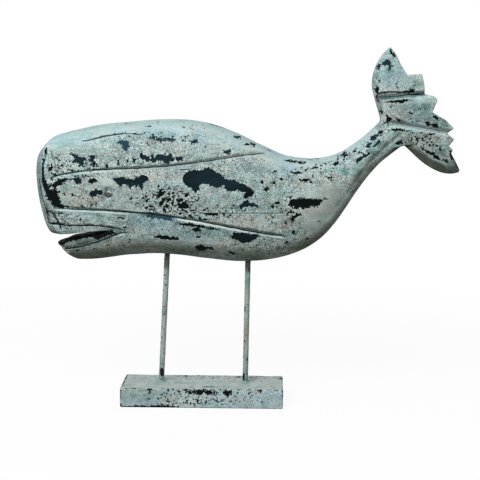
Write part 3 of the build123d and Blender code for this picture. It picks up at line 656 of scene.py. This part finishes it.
def openMouth(mesh):
    # the saw cut between the lips, closing at the corner of the mouth
    outline = [(-104.5, 214.7), (-122, 213.4), (-134, 211.9), (-147, 210.9), (-160, 209.3), (-200, 208.4),
               (-200, 192.8), (-169, 198.2), (-160, 202.0), (-147, 204.0), (-134, 206.8), (-122, 209.4)]
    reach = 60
    blade = bmesh.new()
    rims = [[blade.verts.new((x * mm, side * reach * mm, z * mm)) for x, z in outline] for side in (-1, 1)]
    blade.faces.new(rims[0])
    blade.faces.new(rims[1][::-1])
    for step in range(len(outline)):
        after = (step + 1) % len(outline)
        blade.faces.new((rims[0][after], rims[0][step], rims[1][step], rims[1][after]))
    bmesh.ops.recalc_face_normals(blade, faces=blade.faces)
    bladeMesh = bpy.data.meshes.new("blade")
    blade.to_mesh(bladeMesh)
    blade.free()
    cutter, head = placed("blade", bladeMesh), placed("head", mesh)
    cut = head.modifiers.new("cut", "BOOLEAN")
    cut.operation, cut.object, cut.solver = "DIFFERENCE", cutter, "EXACT"
    opened = settled(head)
    bpy.data.objects.remove(cutter)
    return opened


def farSide():
    # the far side is worn by the same kind of patches, turned and put elsewhere by a fixed draw
    spots = {"seed": 1494, "turn": 0.25, "size": (0.8, 1.15), "across": (-172, 158), "low": 196, "high": 318}
    draw = random.Random(spots["seed"])
    moved = [nearPatches[0]]
    for patch in nearPatches[1:]:
        xs, zs = (patch - patch.mean(axis=0)).T
        xs = xs * draw.choice((-1, 1))
        turn, size = draw.gauss(0, spots["turn"]), draw.uniform(*spots["size"])
        at = draw.uniform(*spots["across"])
        # the body narrows towards the tail
        level = draw.uniform(spots["low"] + max(at - 50, 0) * 0.55, spots["high"] - max(at - 40, 0) * 0.22)
        moved.append(np.stack([at + size * (xs * math.cos(turn) - zs * math.sin(turn)),
                               level + size * (xs * math.sin(turn) + zs * math.cos(turn))], axis=1))
    return moved


def bareMouth(x, z, side, crumbs):
    # inside the mouth, where the top coat never reached, and on the jaw's worn rim
    stations = (-200, -169, -160, -147, -134, -122, -108, -104)
    middle, half, edge, rim = (np.interp(x, stations, row) for row in (
        (200.6, 203.7, 205.7, 207.4, 209.4, 211.4, 213.5, 214.7), (7.8, 5.2, 3.7, 3.5, 2.7, 2.1, 1.2, 0.3),
        (192.8, 198.2, 202.0, 204.0, 206.8, 209.4, 213.5, 214.7), (3.4, 3.2, 2.6, 1.3, 0.5, 0.2, 0, 0)))
    within = (x < -102) & (np.abs(z - middle) < half + 0.5 + crumbs * 0.9) & (side < 0.75)
    return within | (x < -122) & (z < edge + 1) & (z > edge - (rim + crumbs * 0.4))


whaleLook = {
    "coat": rgb(207, 224, 221), "coatWarm": rgb(212, 213, 204), "coatTeal": rgb(122, 176, 166),
    # tones that are painted light: shade on faces turned down, on planes turned away, on the tops and in the eye's
    # dish; a highlight on a carved line's lip
    "coatCool": rgb(172, 206, 220), "dirt": rgb(124, 142, 138), "grime": rgb(104, 108, 90), "shaded": rgb(84, 90, 80),
    "under": rgb(9, 16, 17), "underPale": rgb(44, 76, 90), "crack": rgb(48, 64, 64), "cutDark": rgb(16, 40, 46),
    "cutPale": rgb(216, 232, 232), "cutBlue": rgb(58, 96, 108), "dish": rgb(122, 144, 160),
    "streak": rgb(150, 178, 176), "crown": rgb(158, 186, 188),
    # sizes of the paint's cells and of the noise in it, and how ragged the worn edges are
    "cell": 3.2, "fineCell": 1.8, "fine": 1.3, "small": 3.5, "middle": 9, "broad": 30, "lump": 2.4, "ragged": 1.3,
    "drift": 4.5, "drifts": 2.6, "crackWidth": 0.15, "roughness": 0.66, "shine": 0.05, "relief": 0.3,
    # the brush went along the body: how the noise is drawn out, and its two sizes
    "brushed": (0.22, 1, 1), "bristles": (8, 2.6),
}


def crazedPaint(name, look):
    # old top coat over a dark undercoat: fine crazing, missing cells, worn patches, with painted shade and painted
    # highlights laid in
    finish = Finish(bpy.data.materials.new(name))
    place, field = finish.place(), finish.field
    drift = finish.vector("SUBTRACT", finish.noise(place, look["drift"], out="Color"), (0.5, 0.5, 0.5))
    bent = finish.vector("ADD", place, finish.vector("MULTIPLY", drift, (look["drifts"] * mm,) * 3))

    craze = field("craze")
    cell, fineCell = (finish.lot(bent, look[size]) for size in ("cell", "fineCell"))
    near, fineNear = (finish.cells(bent, look[size]) for size in ("cell", "fineCell"))
    gap, fineGap = (finish.cells(bent, look[size], "DISTANCE_TO_EDGE") for size in ("cell", "fineCell"))
    fine, small, middle = (finish.noise(place, look[size]) for size in ("fine", "small", "middle"))
    broad = finish.noise(place, look["broad"], 3)

    # patches: a ragged edge that follows the paint's own cells
    worn = (field("chip") + (near - 0.45) * look["lump"] + (cell - 0.5) * look["ragged"] + (fineCell - 0.5) * 1.1
            + (small - 0.5) * 1.6)
    dots = (fineCell + field("flake") - 1.0) * 2.6 - fineNear * 0.7 + (fine - 0.5) * 0.3
    bare = worn.step(-0.1, 0.1).most(dots.step(-0.03, 0.03))
    wideCracks = 1 - gap.step(0.02, (small - 0.2) * look["crackWidth"] + 0.05)
    fineCracks = 1 - fineGap.step(0.02, 0.12)
    cracks = (wideCracks * (0.45 + middle * 0.9)).most(fineCracks * middle.step(0.45, 0.62) * 0.7) * craze

    drawn = finish.vector("MULTIPLY", bent, look["brushed"])
    streak, fineStreak = (finish.noise(drawn, size, 3) for size in look["bristles"])
    soil = (cell - 0.4) * 0.55 + (middle - 0.5) * 0.7 + (fine - 0.5) * 0.6

    # bands over and under a carved line, in half widths above it: the dark is paint with painted shade of the upper
    # wall, the pale lip a painted highlight
    above = field("cutHeight") + (small - 0.5) * 0.35 + (middle - 0.5) * 0.7
    blueBand = above.step(-2.3, -1.2) * (1 - above.step(-0.2, 0.2)) * field("cutBlue")
    paleBand = above.step(-2.0, -1.4) * (1 - above.step(-0.75, -0.45)) * field("cutPale")
    darkBand = above.step(-0.75, -0.5) * (1 - above.step(0.0, 0.3)) * field("cutDark")
    thin = field("thin") + (small - 0.5) * 1.2
    thinBand = (1 - (thin * thin).step(0.3, 1.5)) * field("thinDark")

    coat = finish.layers(
        look, look["coat"],
        (broad.step(0.40, 0.64) * 0.35 + field("cool") * 0.9, "coatCool"),
        (streak.step(0.52, 0.66) * 0.45, "coatTeal"),
        ((1 - streak).step(0.55, 0.68) * 0.5, "coatWarm"),
        # fine brush streaks, drawn stronger where the crazing is sparse, which darkens the tops as painted shade
        (fineStreak.step(0.5, 0.68) * (1 - craze * 0.6) * 0.6, "streak"),
        (field("beige") * middle.step(0.3, 0.6), "coatWarm"),
        (field("teal") * middle.step(0.35, 0.6) * 0.9, "coatTeal"),
        # painted shade in the dish round the eye, and a darker bluish tone on the face in front of its ridge
        (field("dish") * 0.7, "dish"),
        # painted shade: the faces turned down are darkened towards an olive grey
        (field("grime") * 0.75, "grime"),
        (soil * craze * 0.7 + 0.02, "dirt"),
        # painted shade: the upward faces are toned darker
        (field("crown") * (0.35 + streak * 0.5), "crown"),
        (field("shaded") * (0.5 + middle * 0.5), "shaded"),
        (cracks * 0.85, "crack"),
        (blueBand * (0.4 + fine), "cutBlue"),
        # painted highlight on the lip below a carved line
        (paleBand * (0.35 + small * 0.9), "cutPale"),
        # dark paint in a carved line, with painted shade of its upper wall
        (darkBand * (0.75 + small * 0.6), "cutDark"))
    under = finish.layers(look, look["under"], (field("deep") * (0.35 + streak), "underPale"))
    bare = bare.most(thinBand * (0.5 + small))
    roughness = look["roughness"] - bare * 0.1 + (fine - 0.5) * 0.12
    height = (1 - bare) - cracks * 0.5 + fine * 0.25 + cell * 0.15
    return finish.shader(finish.mix(bare, coat, under), roughness, height, look["relief"],
                         {"Specular IOR Level": look["shine"]})


def whale():
    # depths that the skin is pushed in or out, in mm
    shape = {"voxel": 1.25, "smoothing": (0.4, 1), "wave": 0.25, "waveLengths": (22, 55), "coat": 0.22,
             "groove": 0.15, "thinLine": 0.35}
    wear = {"grow": 0.75, "flukeShrink": 0.35, "crumbSeed": 7, "crownSeed": 17}
    crown = {"count": 26, "across": (-150, 150), "levels": [(-20, 20)], "sizes": (0.5, 1.0), "runs": (3, 14),
             "drift": 1, "taper": 0.6}
    eye = {"x": -110.3, "z": 257.6, "dish": 11.0}
    mesh = carved("whale_body", shape["voxel"], shape["smoothing"])
    putBack(mesh, headFit(places(mesh)[0]))
    mesh = openMouth(mesh)
    points, normals = places(mesh)
    x, y, z = points.T
    side, upward = np.abs(normals[:, 1]), normals[:, 2]
    soft = {name: spread(x, z, patches) for name, patches in whaleFields.items()}

    shown = np.maximum(insidePatches(x, z, nearPatches), insideStrokes(x, z, chips))
    chip = np.where(y < 0, shown, insidePatches(x, z, farSide()))
    chip = np.maximum(chip, insidePatches(x, z, flukePatches) - wear["flukeShrink"])
    chip += wear["grow"] * (chip > -0.3)
    crumbs = np.random.RandomState(wear["crumbSeed"]).uniform(-1, 1, len(points))
    chip += crumbs * soft["crumb"] * smoothStep(chip, -2.5, -0.5) - soft["thinned"]
    chip -= smoothStep(0.30 - side, 0, 0.25) * 6 * (x > -180)
    crownChips = insideStrokes(x, y, scatter(random.Random(wear["crownSeed"]), **crown))
    chip = np.maximum(chip, crownChips - smoothStep(0.8 - upward, 0, 0.3) * 6)
    chip = np.where(bareMouth(x, z, side, crumbs), 5.0, chip)

    lit = smoothStep(side, 0.2, 0.55)
    flakes = np.maximum(soft["flake"], 0.26 * smoothStep(chip, -4.5, -0.5) * (x > -190))
    shaded = smoothStep(insidePatches(x, z, shadedPlanes), -2.5, 3.5) * (1 + 0.3 * smoothStep(x, 236, 246))
    shaded *= 1 - 0.75 * soft["relit"]
    # painted shade on the upper-left wall of the dish round the eye
    fromEye = np.hypot(x - eye["x"], z - eye["z"])
    leftUp = (z - eye["z"]) * 0.45 - (x - eye["x"])
    dish = (1 - smoothStep(fromEye, eye["dish"] * 0.7, eye["dish"] * 1.2)) * smoothStep(leftUp, -2, 5) * (side > 0.5)
    # the face is bluish in front of its ridge
    face = 0.5 * smoothStep(-x, 188, 191) * smoothStep(z, 236, 262)
    # crazing is closest on the sides and nearly closed on the crown
    craze = 0.30 + 0.70 * smoothStep(0.80 - upward, 0, 0.5)
    craze *= 1 - 0.30 * smoothStep(x, 200, 225) * smoothStep(z, 335, 375)
    height, shades = cutField(x, z)
    thin, close = thinField(x, z)
    give(mesh, chip=np.clip(chip, -6, 6), flake=flakes * smoothStep(side, 0.15, 0.6), cool=soft["cool"],
         deep=soft["deep"], teal=soft["teal"], beige=soft["beige"], shaded=np.maximum(shaded, soft["shaded"]),
         dish=np.maximum(dish * 0.9, face), craze=craze * (1 - soft["smooth"]),
         cutHeight=np.clip(height, -4, 4), cutDark=shades["dark"] * lit, cutPale=shades["pale"] * lit,
         cutBlue=shades["blue"] * lit, thin=thin, thinDark=close * smoothStep(side, 0.15, 0.4),
         # painted shade: the faces turned down are darkened, and the upward faces are toned darker
         grime=smoothStep(-upward, 0.02, 0.75) * (1 - soft["clean"]), crown=smoothStep(upward, 0.5, 0.95))

    push = shape["wave"] * waviness(points, 5, shape["waveLengths"])
    push -= shape["coat"] * smoothStep(chip, -0.3, 0.8)
    push -= shape["groove"] * shades["cut"] * lit * np.clip(1 - np.abs(height), 0, 1)
    push -= shape["thinLine"] * close * np.clip(1 - np.abs(thin), 0, 1) * lit
    putBack(mesh, points + normals * push[:, None])
    piece("paintedWhale", mesh, "whale_paint", crazedPaint("crazedPaint", whaleLook), "whale_body")
    print("whale carved:", len(mesh.vertices), "points")


def lathe(name, profile, segments, wobble=0.0, seed=1):
    # turned shape about Z from (radius, height) pairs; one that starts and ends off the axis is a closed ring
    draw = random.Random(seed)
    phases = [draw.uniform(0, 2 * math.pi) for _ in range(3)]
    shape = bmesh.new()
    rings = []
    for radius, level in profile:
        if radius < 1e-6:
            rings.append([shape.verts.new((0, 0, level * mm))])
            continue
        ring = []
        for step in range(segments):
            angle = 2 * math.pi * step / segments
            bulge = 1 + wobble * sum(math.sin(angle * (turn + 2) + phase) for turn, phase in enumerate(phases)) / 3
            ring.append(shape.verts.new((
                radius * bulge * math.cos(angle) * mm, radius * bulge * math.sin(angle) * mm, level * mm)))
        rings.append(ring)
    if len(rings[0]) > 1:
        rings.append(rings[0])
    for lower, upper in zip(rings, rings[1:]):
        for step in range(segments):
            after = (step + 1) % segments
            if len(lower) == 1:
                shape.faces.new((lower[0], upper[after], upper[step]))
            elif len(upper) == 1:
                shape.faces.new((lower[step], lower[after], upper[0]))
            else:
                shape.faces.new((lower[step], lower[after], upper[after], upper[step]))
    bmesh.ops.recalc_face_normals(shape, faces=shape.faces)
    mesh = bpy.data.meshes.new(name)
    shape.to_mesh(mesh)
    shape.free()
    return mesh


def studPaint():
    look = {"brown": rgb(104, 107, 104), "dust": rgb(176, 196, 190), "dark": rgb(14, 20, 24),
            "patch": 2.2, "fine": 0.6, "relief": 0.12}
    finish = Finish(bpy.data.materials.new("studPaint"))
    place = finish.place()
    patch, fine = (finish.noise(place, look[size], detail) for size, detail in (("patch", 3), ("fine", 2)))
    # pale paint is left on the top of the dome, lit at its upper right as a painted highlight; the lower rim is
    # darkened as painted shade, and the pit is darkened too
    colour = finish.layers(look, look["brown"],
                           ((finish.field("paint") + (patch - 0.5) * 0.8).step(0.35, 0.65), "dust"),
                           ((finish.field("soil") + (fine - 0.5) * 0.7).step(0.3, 0.7), "dark"))
    return finish.shader(colour, 0.5 + fine * 0.2, patch + fine * 0.5, look["relief"])


def eyes():
    stud = {"radius": 4.35, "dome": 2.4, "rim": 1.0, "pit": 0.8, "deep": 0.7, "shank": 1.5, "length": 14,
            "out": 33.96, "at": (-110.6, 257.9)}
    radius, dome, rim, pit, deep, shank, length = list(stud.values())[:7]
    profile = [(0, -length), (shank * 0.8, -length), (shank, 0.4 - length), (shank, -0.01),
               (radius - 0.25, 0), (radius, 0.25), (radius, rim - 0.2), (radius - 0.15, rim)]
    for share in (0.15, 0.3, 0.45, 0.6, 0.72):
        angle = share * math.pi / 2
        profile.append((radius * math.cos(angle) * 0.97, rim + (dome - rim) * math.sin(angle)))
    profile += [(pit * 1.25, dome - 0.02), (pit, dome - 0.12), (pit * 0.7, dome - deep * 0.8), (0, dome - deep)]
    material = studPaint()
    for name, node, turn in (("leftStud", "left_eye", -1), ("rightStud", "right_eye", 1)):
        mesh = lathe(name, profile, 40, 0.02, seed=3)
        x, y, _ = places(mesh)[0].T
        up, out = -turn * y, np.hypot(x, y)
        # painted shade round the lower rim, and pale paint with a painted highlight towards the upper right
        lowRim = smoothStep(out, 1.7, 2.5) * smoothStep(-x * 0.35 - up, -1.6, -0.4)
        give(mesh, paint=smoothStep(up * 0.85 + x * 0.45, 1.9, 3.1),
             soil=np.maximum(lowRim, 1 - smoothStep(out, 0.8, 1.3)))
        swing = Matrix.Rotation(math.radians(-90 * turn), 4, "X")
        mesh.transform(Matrix.Translation((stud["at"][0] * mm, turn * stud["out"] * mm, stud["at"][1] * mm)) @ swing)
        piece(name, mesh, "eye_paint", material, node)
    print("eye studs turned")


def rodPaint():
    look = {"coat": rgb(158, 174, 169), "coatPale": rgb(182, 195, 190), "warm": rgb(168, 160, 144),
            "dark": rgb(9, 13, 15), "teal": rgb(108, 150, 142), "rubbed": rgb(66, 76, 73), "grain": rgb(112, 122, 114),
            "dull": rgb(92, 104, 100), "patch": 7, "fine": 1.6, "grains": 0.9, "cell": 1.8, "relief": 0.2, "shine": 0.2}
    finish = Finish(bpy.data.materials.new("rodPaint"))
    place, field = finish.place(), finish.field
    stretched = finish.node("ShaderNodeMapping", None, {"Vector": place, "Scale": (1, 1, 0.35)})
    patch, fine = (finish.noise(stretched, look[size], 3) for size in ("patch", "fine"))
    grain = finish.noise(stretched, look["grains"], 4, 0.7)
    cell = finish.lot(place, look["cell"])
    edge = field("chip") + (cell - 0.5) * 1.0 + (fine - 0.5) * 1.2
    speck = (cell + fine * 0.5 - 1.2).step(0, 0.04)
    bare = edge.step(-0.12, 0.12).most(speck)
    colour = finish.layers(
        look, look["coat"],
        (patch.step(0.4, 0.62), "coatPale"),
        (field("rust") * fine.step(0.35, 0.6), "warm"),
        (field("teal") * fine.step(0.3, 0.6), "teal"),
        # painted shade on the rod's top, under the belly
        (field("rubbed") * (0.7 + fine * 0.5), "rubbed"),
        (grain.step(0.46, 0.6) * 0.6, "grain"),
        ((cell - 0.4) * 0.35, "dull"),
        (bare, "dark"))
    return finish.shader(colour, 0.6 - bare * 0.15, (1 - bare) + fine * 0.5, look["relief"],
                         {"Specular IOR Level": look["shine"]})


def rods():
    rod = {"radius": 3.35, "chamfer": 0.6, "rounds": 150, "segments": 28, "bump": 0.10, "bumpLengths": (3, 9)}
    # z above the floor of what shows on each rod: where the painted shade under the belly begins, teal and rust bands
    # as level and width; a chip is from, to, size and shift sideways
    wear = {
        "front_rod": {"name": "frontRod", "rubbed": 166, "teal": [(30, 8), (112, 3)], "rust": [], "chips": [
            (34.5, 39, 2.4, 0.1), (32, 34, 1.5, 0.8), (27.5, 28, 1.1, 0.2), (144, 145, 0.9, 0.2),
            (156, 157, 0.7, -1.5)]},
        "rear_rod": {"name": "rearRod", "rubbed": 163, "teal": [(34, 14), (150, 12)], "rust": [(86, 9)], "chips": [
            (164, 166, 1.0, 2.2), (114, 118, 0.9, -2.4), (76, 77, 0.9, -1.6), (26, 34, 1.6, -2.4), (52, 56, 0.8, 2.2)]},
    }
    material = rodPaint()
    radius, chamfer, rounds = rod["radius"], rod["chamfer"], rod["rounds"]
    for node, marks in wear.items():
        points, _ = places(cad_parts[node].data)
        low = points[points[:, 2] < points[:, 2].min() + chamfer].mean(axis=0)
        high = points[points[:, 2] > points[:, 2].max() - chamfer].mean(axis=0)
        axis = Vector(high - low)
        length = axis.length
        profile = [(0, 0), (radius - chamfer, 0)]
        profile += [(radius, chamfer + (length - 2 * chamfer) * step / rounds) for step in range(rounds + 1)]
        profile += [(radius - chamfer, length), (0, length)]
        mesh = lathe(marks["name"], profile, rod["segments"])
        mesh.transform(Matrix.Translation(Vector(low) * mm) @ axis.to_track_quat("Z", "Y").to_matrix().to_4x4())
        points, normals = places(mesh)
        x, y, z = points.T
        centre = low[0] + (high[0] - low[0]) * (z - low[2]) / (high[2] - low[2])
        chip = np.full(len(points), -6.0)
        for bottom, top, size, shift in marks["chips"]:
            beyond = np.maximum(np.abs(z - (bottom + top) / 2) - (top - bottom) / 2, 0)
            # small chips stay on the shown side
            chip = np.maximum(chip, size - np.hypot(beyond, x - centre - shift) - (y > 1.5) * 3 * (size < 2.2))
        bands = {tone: sum((np.exp(-((z - at) / wide) ** 2) for at, wide in marks[tone]), np.zeros(len(points)))
                 for tone in ("teal", "rust")}
        # painted shade from where the rod goes in under the belly
        give(mesh, chip=chip, rubbed=smoothStep(z, marks["rubbed"] - 6, marks["rubbed"] + 3), **bands)
        bumps = rod["bump"] * waviness(points * np.array((1, 1, 0.5)), 11, rod["bumpLengths"])
        putBack(mesh, points + normals * bumps[:, None])
        piece(marks["name"], mesh, "rod_paint", material, node)
    print("rods done")


def beadPaint():
    look = {"teal": rgb(98, 154, 144), "pale": rgb(166, 190, 186), "dark": rgb(38, 52, 54),
            "patch": 2.6, "fine": 0.8, "roughness": 0.55, "relief": 0.25}
    finish = Finish(bpy.data.materials.new("beadPaint"))
    place = finish.place()
    patch, fine = (finish.noise(place, look[size], detail) for size, detail in (("patch", 3), ("fine", 2)))
    colour = finish.layers(look, look["teal"],
                           (patch.step(0.4, 0.62), "pale"), ((patch * 0.5 + fine * 0.5).step(0.56, 0.6), "dark"))
    return finish.shader(colour, look["roughness"], patch + fine * 0.4, look["relief"])


def beads():
    # soft fillet of glue and paint round the foot of each rod
    bead = {"inner": 3.25, "outer": 4.95, "tall": 2.5, "tuck": 0.3, "lip": (0.15, 0.25), "floor": 24.0}
    inner, outer, tall, tuck, (lipIn, lipUp), floor = bead.values()
    profile = [(inner - tuck, 0), (outer, 0.0), (outer - lipIn, lipUp)]
    for step in range(1, 9):
        share = step / 8
        profile.append((outer - lipIn - (outer - inner - 0.1) * share ** 0.6, lipUp + (tall - lipUp) * share ** 1.7))
    profile.append((inner - tuck, tall))
    material = beadPaint()
    for name, node, seed, lean in (("frontBead", "front_glue_bead", 8, 0.05), ("rearBead", "rear_glue_bead", 9, 0.02)):
        low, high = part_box(node)
        mesh = lathe(name, profile, 48, 0.035, seed=seed)
        points, _ = places(mesh)
        points[:, 0] += points[:, 2] * lean
        putBack(mesh, points + np.array([(low[0] + high[0]) / 2 / mm, 0, floor]))
        piece(name, mesh, "glue_bead", material, node)
    print("glue beads done")


# worn places on the base's front face
frontPatches = outlines(
    (-64.7, 23.4, 6.9, 0.1, 0.3, -1.8, -2.8, -0.1, -0.8, -3.6, -1.2, -0.7, -0.6, 4.3, -1.9, 0.5),
    (-22.4, 23.3, 5.9, 0.5, 0.8, -6.6, -3.2, 1.4, -1.2, 3), (-16.1, 21.3, 5, 1.5, 0, -5, -3.9, -0.8),
    (-10, 22.8, 2.4, 0, -1.3, -5.5, -1.9, 0.5),
    (-6.3, 22.6, 18, 0.6, 0.7, -5.6, -5, -1.2, -4, 2.4, -4, -1.7, -5, 0, -1.3, 3.3),
    (13.9, 22.8, 2.5, -0.8, -0.6, -5.8, -2.2, 1.1), (17.5, 21.3, 2, 0.5, -0.6, -4.2),
    (26, 19.4, 2.1, 2.9, 3.5, 1.3, 4.3, -1.9, 0, -3.8, -4.9, -3.5, -3, 2),
    (62.1, 24.4, 11.3, 0.1, -2.6, -4.2, -2.5, 0.7, -0.8, 2.3, -4.7, 0.2), (-19.4, 9.5, 3.3, 1.1, -0.6, -4.1, -1.9, 0.2),
    (-4.9, 10.1, 1.9, 0.4, -0.6, -4.6, -1.3, 0), (-41.6, 8.9, 3.3, -0.6, 4.1, -2.7, -3.4, -1, -2.3, 1.9),
    (16.2, 9.9, 2.7, 0.5, -0.4, -2.1, -1.9, 0), (22, 9, 1.6, 1.4, 1.1, -1.8, -1.8, -0.8),
    (33, 9.8, 3.4, -0.6, -1.4, -1.4), (-9.3, 4.9, 2.2, 1, -0.2, -3.2), (2.1, 8.4, 2, -0.6, -0.9, -1.4),
    (-26.8, 20.8, 0.9, 0, 0, -3.7))
# and as strokes
frontWear = [
    (44, 24, 0.6, 46, 23, 0.6), (50, 12, 0.7), (64, 12, 0.6), (72, 9, 0.6), (-97, 0.4, 1.1, -57, 1.2, 1.5),
    (-57, 1.4, 1.7, -38, 1.4, 1.8), (-38, 1.2, 1.5, -27, 0.9, 1.1), (97, 24, 0.6, 97, 16, 0.5),
    (-97, 20, 0.8, -97, 13, 0.8), (-97, 5, 0.8, -96, 0, 0.9), (-32, 16, 0.5, -31, 19, 0.5),
    (-48, 15, 0.5, -47, 17, 0.5), (-90, 24, 0.5, -70, 24, 0.4), (-50, 24, 0.5, -30, 24, 0.5),
    (78, 24, 0.5, 92, 24, 0.4), (20, 24, 0.4, 27, 24, 0.5), (36, 24, 0.5, 60, 24, 0.4), (-63, 12, 0.5, -61, 10, 0.5),
    (43, 19, 0.6, 45, 16, 0.5), (56, 18, 0.5, 58, 20, 0.5)]
# and on its top, with y for z
topWear = [
    (-60, 35, 0.8, -50, 36, 0.7), (50, 35, 0.8, 62, 36, 0.8), (72, 34, 0.7, 84, 35, 0.7), (40, 31, 0.9, 46, 31, 0.7),
    (60, 12, 0.6, 62, 12, 0.6), (-10, 30, 0.9, -4, 33, 0.7), (6, 27, 0.8, 7, 27, 0.8), (64, 20, 0.7, 66, 21, 0.7),
    (30, 18, 0.6, 31, 19, 0.6), (-90, 36, 0.8, -83, 36, 1), (-36, 36, 0.8, -12, 35, 1.2), (-24, 32, 1.3, -22, 29, 1.5),
    (-72, 19, 1), (11, 20, 1.3, 12, 20, 1.2), (40, 25, 1.5, 44, 26, 1.2), (38, 12, 1, 39, 13, 1),
    (57, 25, 1.7, 59, 25, 1.5), (93, 20, 1.6, 97, 22, 3), (71, 10, 1), (-34, -9, 0.7, -21, -8, 0.7), (4, -5, 0.8),
    (2, -25, 1, 16, -25, 1.2), (-14, -29, 1, -12, -29, 1), (19, 36, 0.8, 32, 35, 1), (-97, 33, 1.2, -97, 6, 1.7),
    (-97, 1, 1.7, -97, -26, 1.3)]
# soft patches on the front and back: x, z, half width, half height, strength
baseFields = {
    "flake": [(0, 12, 90, 14, 0.14), (-15, 9, 62, 9, 0.25), (-10, 18, 50, 8, 0.20), (60, 14, 30, 12, 0.14)],
    "cool": [(75, 12, 40, 16, 0.45), (-75, 8, 36, 10, 0.7), (20, 6, 30, 8, 0.4), (0, 26, 80, 6, 0.3)],
    "shaded": [(-70, 12, 46, 16, 0.26)],
    "teal": [(-80, 14, 30, 10, 0.3), (60, 6, 40, 8, 0.2)],
}
# and on the top, with y for z
topBeige = [(60, 0, 50, 40, 0.4), (-40, 10, 30, 20, 0.3)]
# worn strokes on the sides that don't show, put by a draw
hiddenWear = {
    "back": {"count": 30, "across": (-95, 95), "levels": [(18, 24), (2, 22)], "sizes": (0.6, 2.0), "runs": (1, 8),
             "drift": 1, "taper": 0.7},
    "end": {"count": 16, "across": (-34, 34), "levels": [(19, 24), (2, 22)], "sizes": (0.6, 1.6), "runs": (1, 5),
            "drift": 1, "taper": 0.7},
    "backEdge": {"count": 46, "across": (-60, 96), "levels": [(14, 36)], "sizes": (0.2, 0.65), "runs": (1, 5),
                 "drift": 2, "taper": 0.6},
}
# the base's tops get a pinkish grey: partly their own tone, partly painted shade
baseLook = dict(
    whaleLook, coat=rgb(213, 229, 228), coatCool=rgb(184, 214, 228), coatTeal=rgb(126, 168, 162),
    crown=rgb(178, 188, 183), cell=2.6, fineCell=1.6, ragged=1.1, lump=1.5)


def base():
    # sizes in mm; ragged is the waves along the worn edges, longer what each end gains in length by its share
    block = {"voxel": 1.0, "smoothing": (0.25, 1), "half": (97.5, 36.0, 12.0), "dent": 0.22, "dentWide": 1.8,
             "wave": 0.1, "waveLengths": (18, 50), "ragged": (6, 30), "coat": 0.2, "longer": (0.011, 0.006)}
    wear = {"seed": 23, "crumbSeed": 9, "crumbs": 1.9, "grow": 0.2}
    foot = {"x": -51, "radius": 5, "fade": 5}  # teal round the front rod
    mesh = carved("base_block", block["voxel"], block["smoothing"])
    points, normals = places(mesh)
    x, y, z = points.T
    half = np.array(block["half"])
    inset = np.sort(half - np.abs(points - np.array((0, 0, half[2]))), axis=1)
    toEdge = np.hypot(inset[:, 0], inset[:, 1])

    draw = random.Random(wear["seed"])
    back, end, backEdge = (scatter(draw, **strokes) for strokes in hiddenWear.values())
    facing = {"front": -normals[:, 1], "back": normals[:, 1], "top": normals[:, 2], "end": np.abs(normals[:, 0])}
    turned = {name: smoothStep(0.5 - face, 0, 0.3) * 8 for name, face in facing.items()}
    chip = np.full(len(points), farOut)
    for name, strokes, across, along in (
            ("front", frontWear, x, z), ("back", back, x, z), ("top", topWear + backEdge, x, y), ("end", end, y, z)):
        chip = np.maximum(chip, insideStrokes(across, along, strokes) - turned[name])
    front = insidePatches(x, z, frontPatches) - turned["front"]
    crumbs = np.random.RandomState(wear["crumbSeed"]).uniform(-1, 1, len(points))
    front += wear["grow"] * (front > -0.3) + wear["crumbs"] * crumbs * smoothStep(front, -2.2, -0.5)
    ragged = waviness(points, 31, block["ragged"])
    chip = np.maximum(np.maximum(chip, front), -0.6 + 1.0 * ragged - toEdge * 0.9)

    soft = {name: spread(x, z, patches) for name, patches in baseFields.items()}
    onFront = facing["front"] > 0.5
    flakes = soft["flake"] * smoothStep(np.abs(normals[:, 1]), 0.3, 0.7)
    roundFoot = 1 - smoothStep(np.hypot(x - foot["x"], y) - foot["radius"], 0, foot["fade"])
    unused = ("cutHeight", "cutDark", "cutPale", "cutBlue", "dish", "grime", "thin", "thinDark", "deep")
    # painted shade: the upward faces are toned darker, and the front's shaded patches darken it
    give(mesh, chip=np.clip(chip, -6, 6), flake=flakes + 0.05 + 0.22 * smoothStep(y, 20, 32) * smoothStep(x, -60, 0),
         cool=soft["cool"] * onFront, shaded=soft["shaded"] * onFront, teal=np.maximum(soft["teal"], roundFoot),
         beige=spread(x, y, topBeige),
         craze=0.62 - 0.07 * smoothStep(0.8 - normals[:, 2], 0, 0.5), crown=smoothStep(normals[:, 2], 0.5, 0.95),
         **{name: np.zeros(len(points)) for name in unused})

    push = block["wave"] * waviness(points, 6, block["waveLengths"])
    push -= block["dent"] * np.clip(ragged + 0.2, 0, 1.5) * np.exp(-(toEdge / block["dentWide"]) ** 2)
    push -= block["coat"] * smoothStep(chip, -0.3, 0.8)
    points[:, 0] += np.where(x < 0, *block["longer"]) * x
    resting = smoothStep(z, 0.2, 1.2)
    putBack(mesh, points + normals * (push * resting)[:, None])
    piece("paintedBase", mesh, "base_paint", crazedPaint("basePaint", baseLook), "base_block")
    print("base worn:", len(mesh.vertices), "points")


studio()
backdrop()
print("studio ready")
whale()
eyes()
rods()
beads()
base()
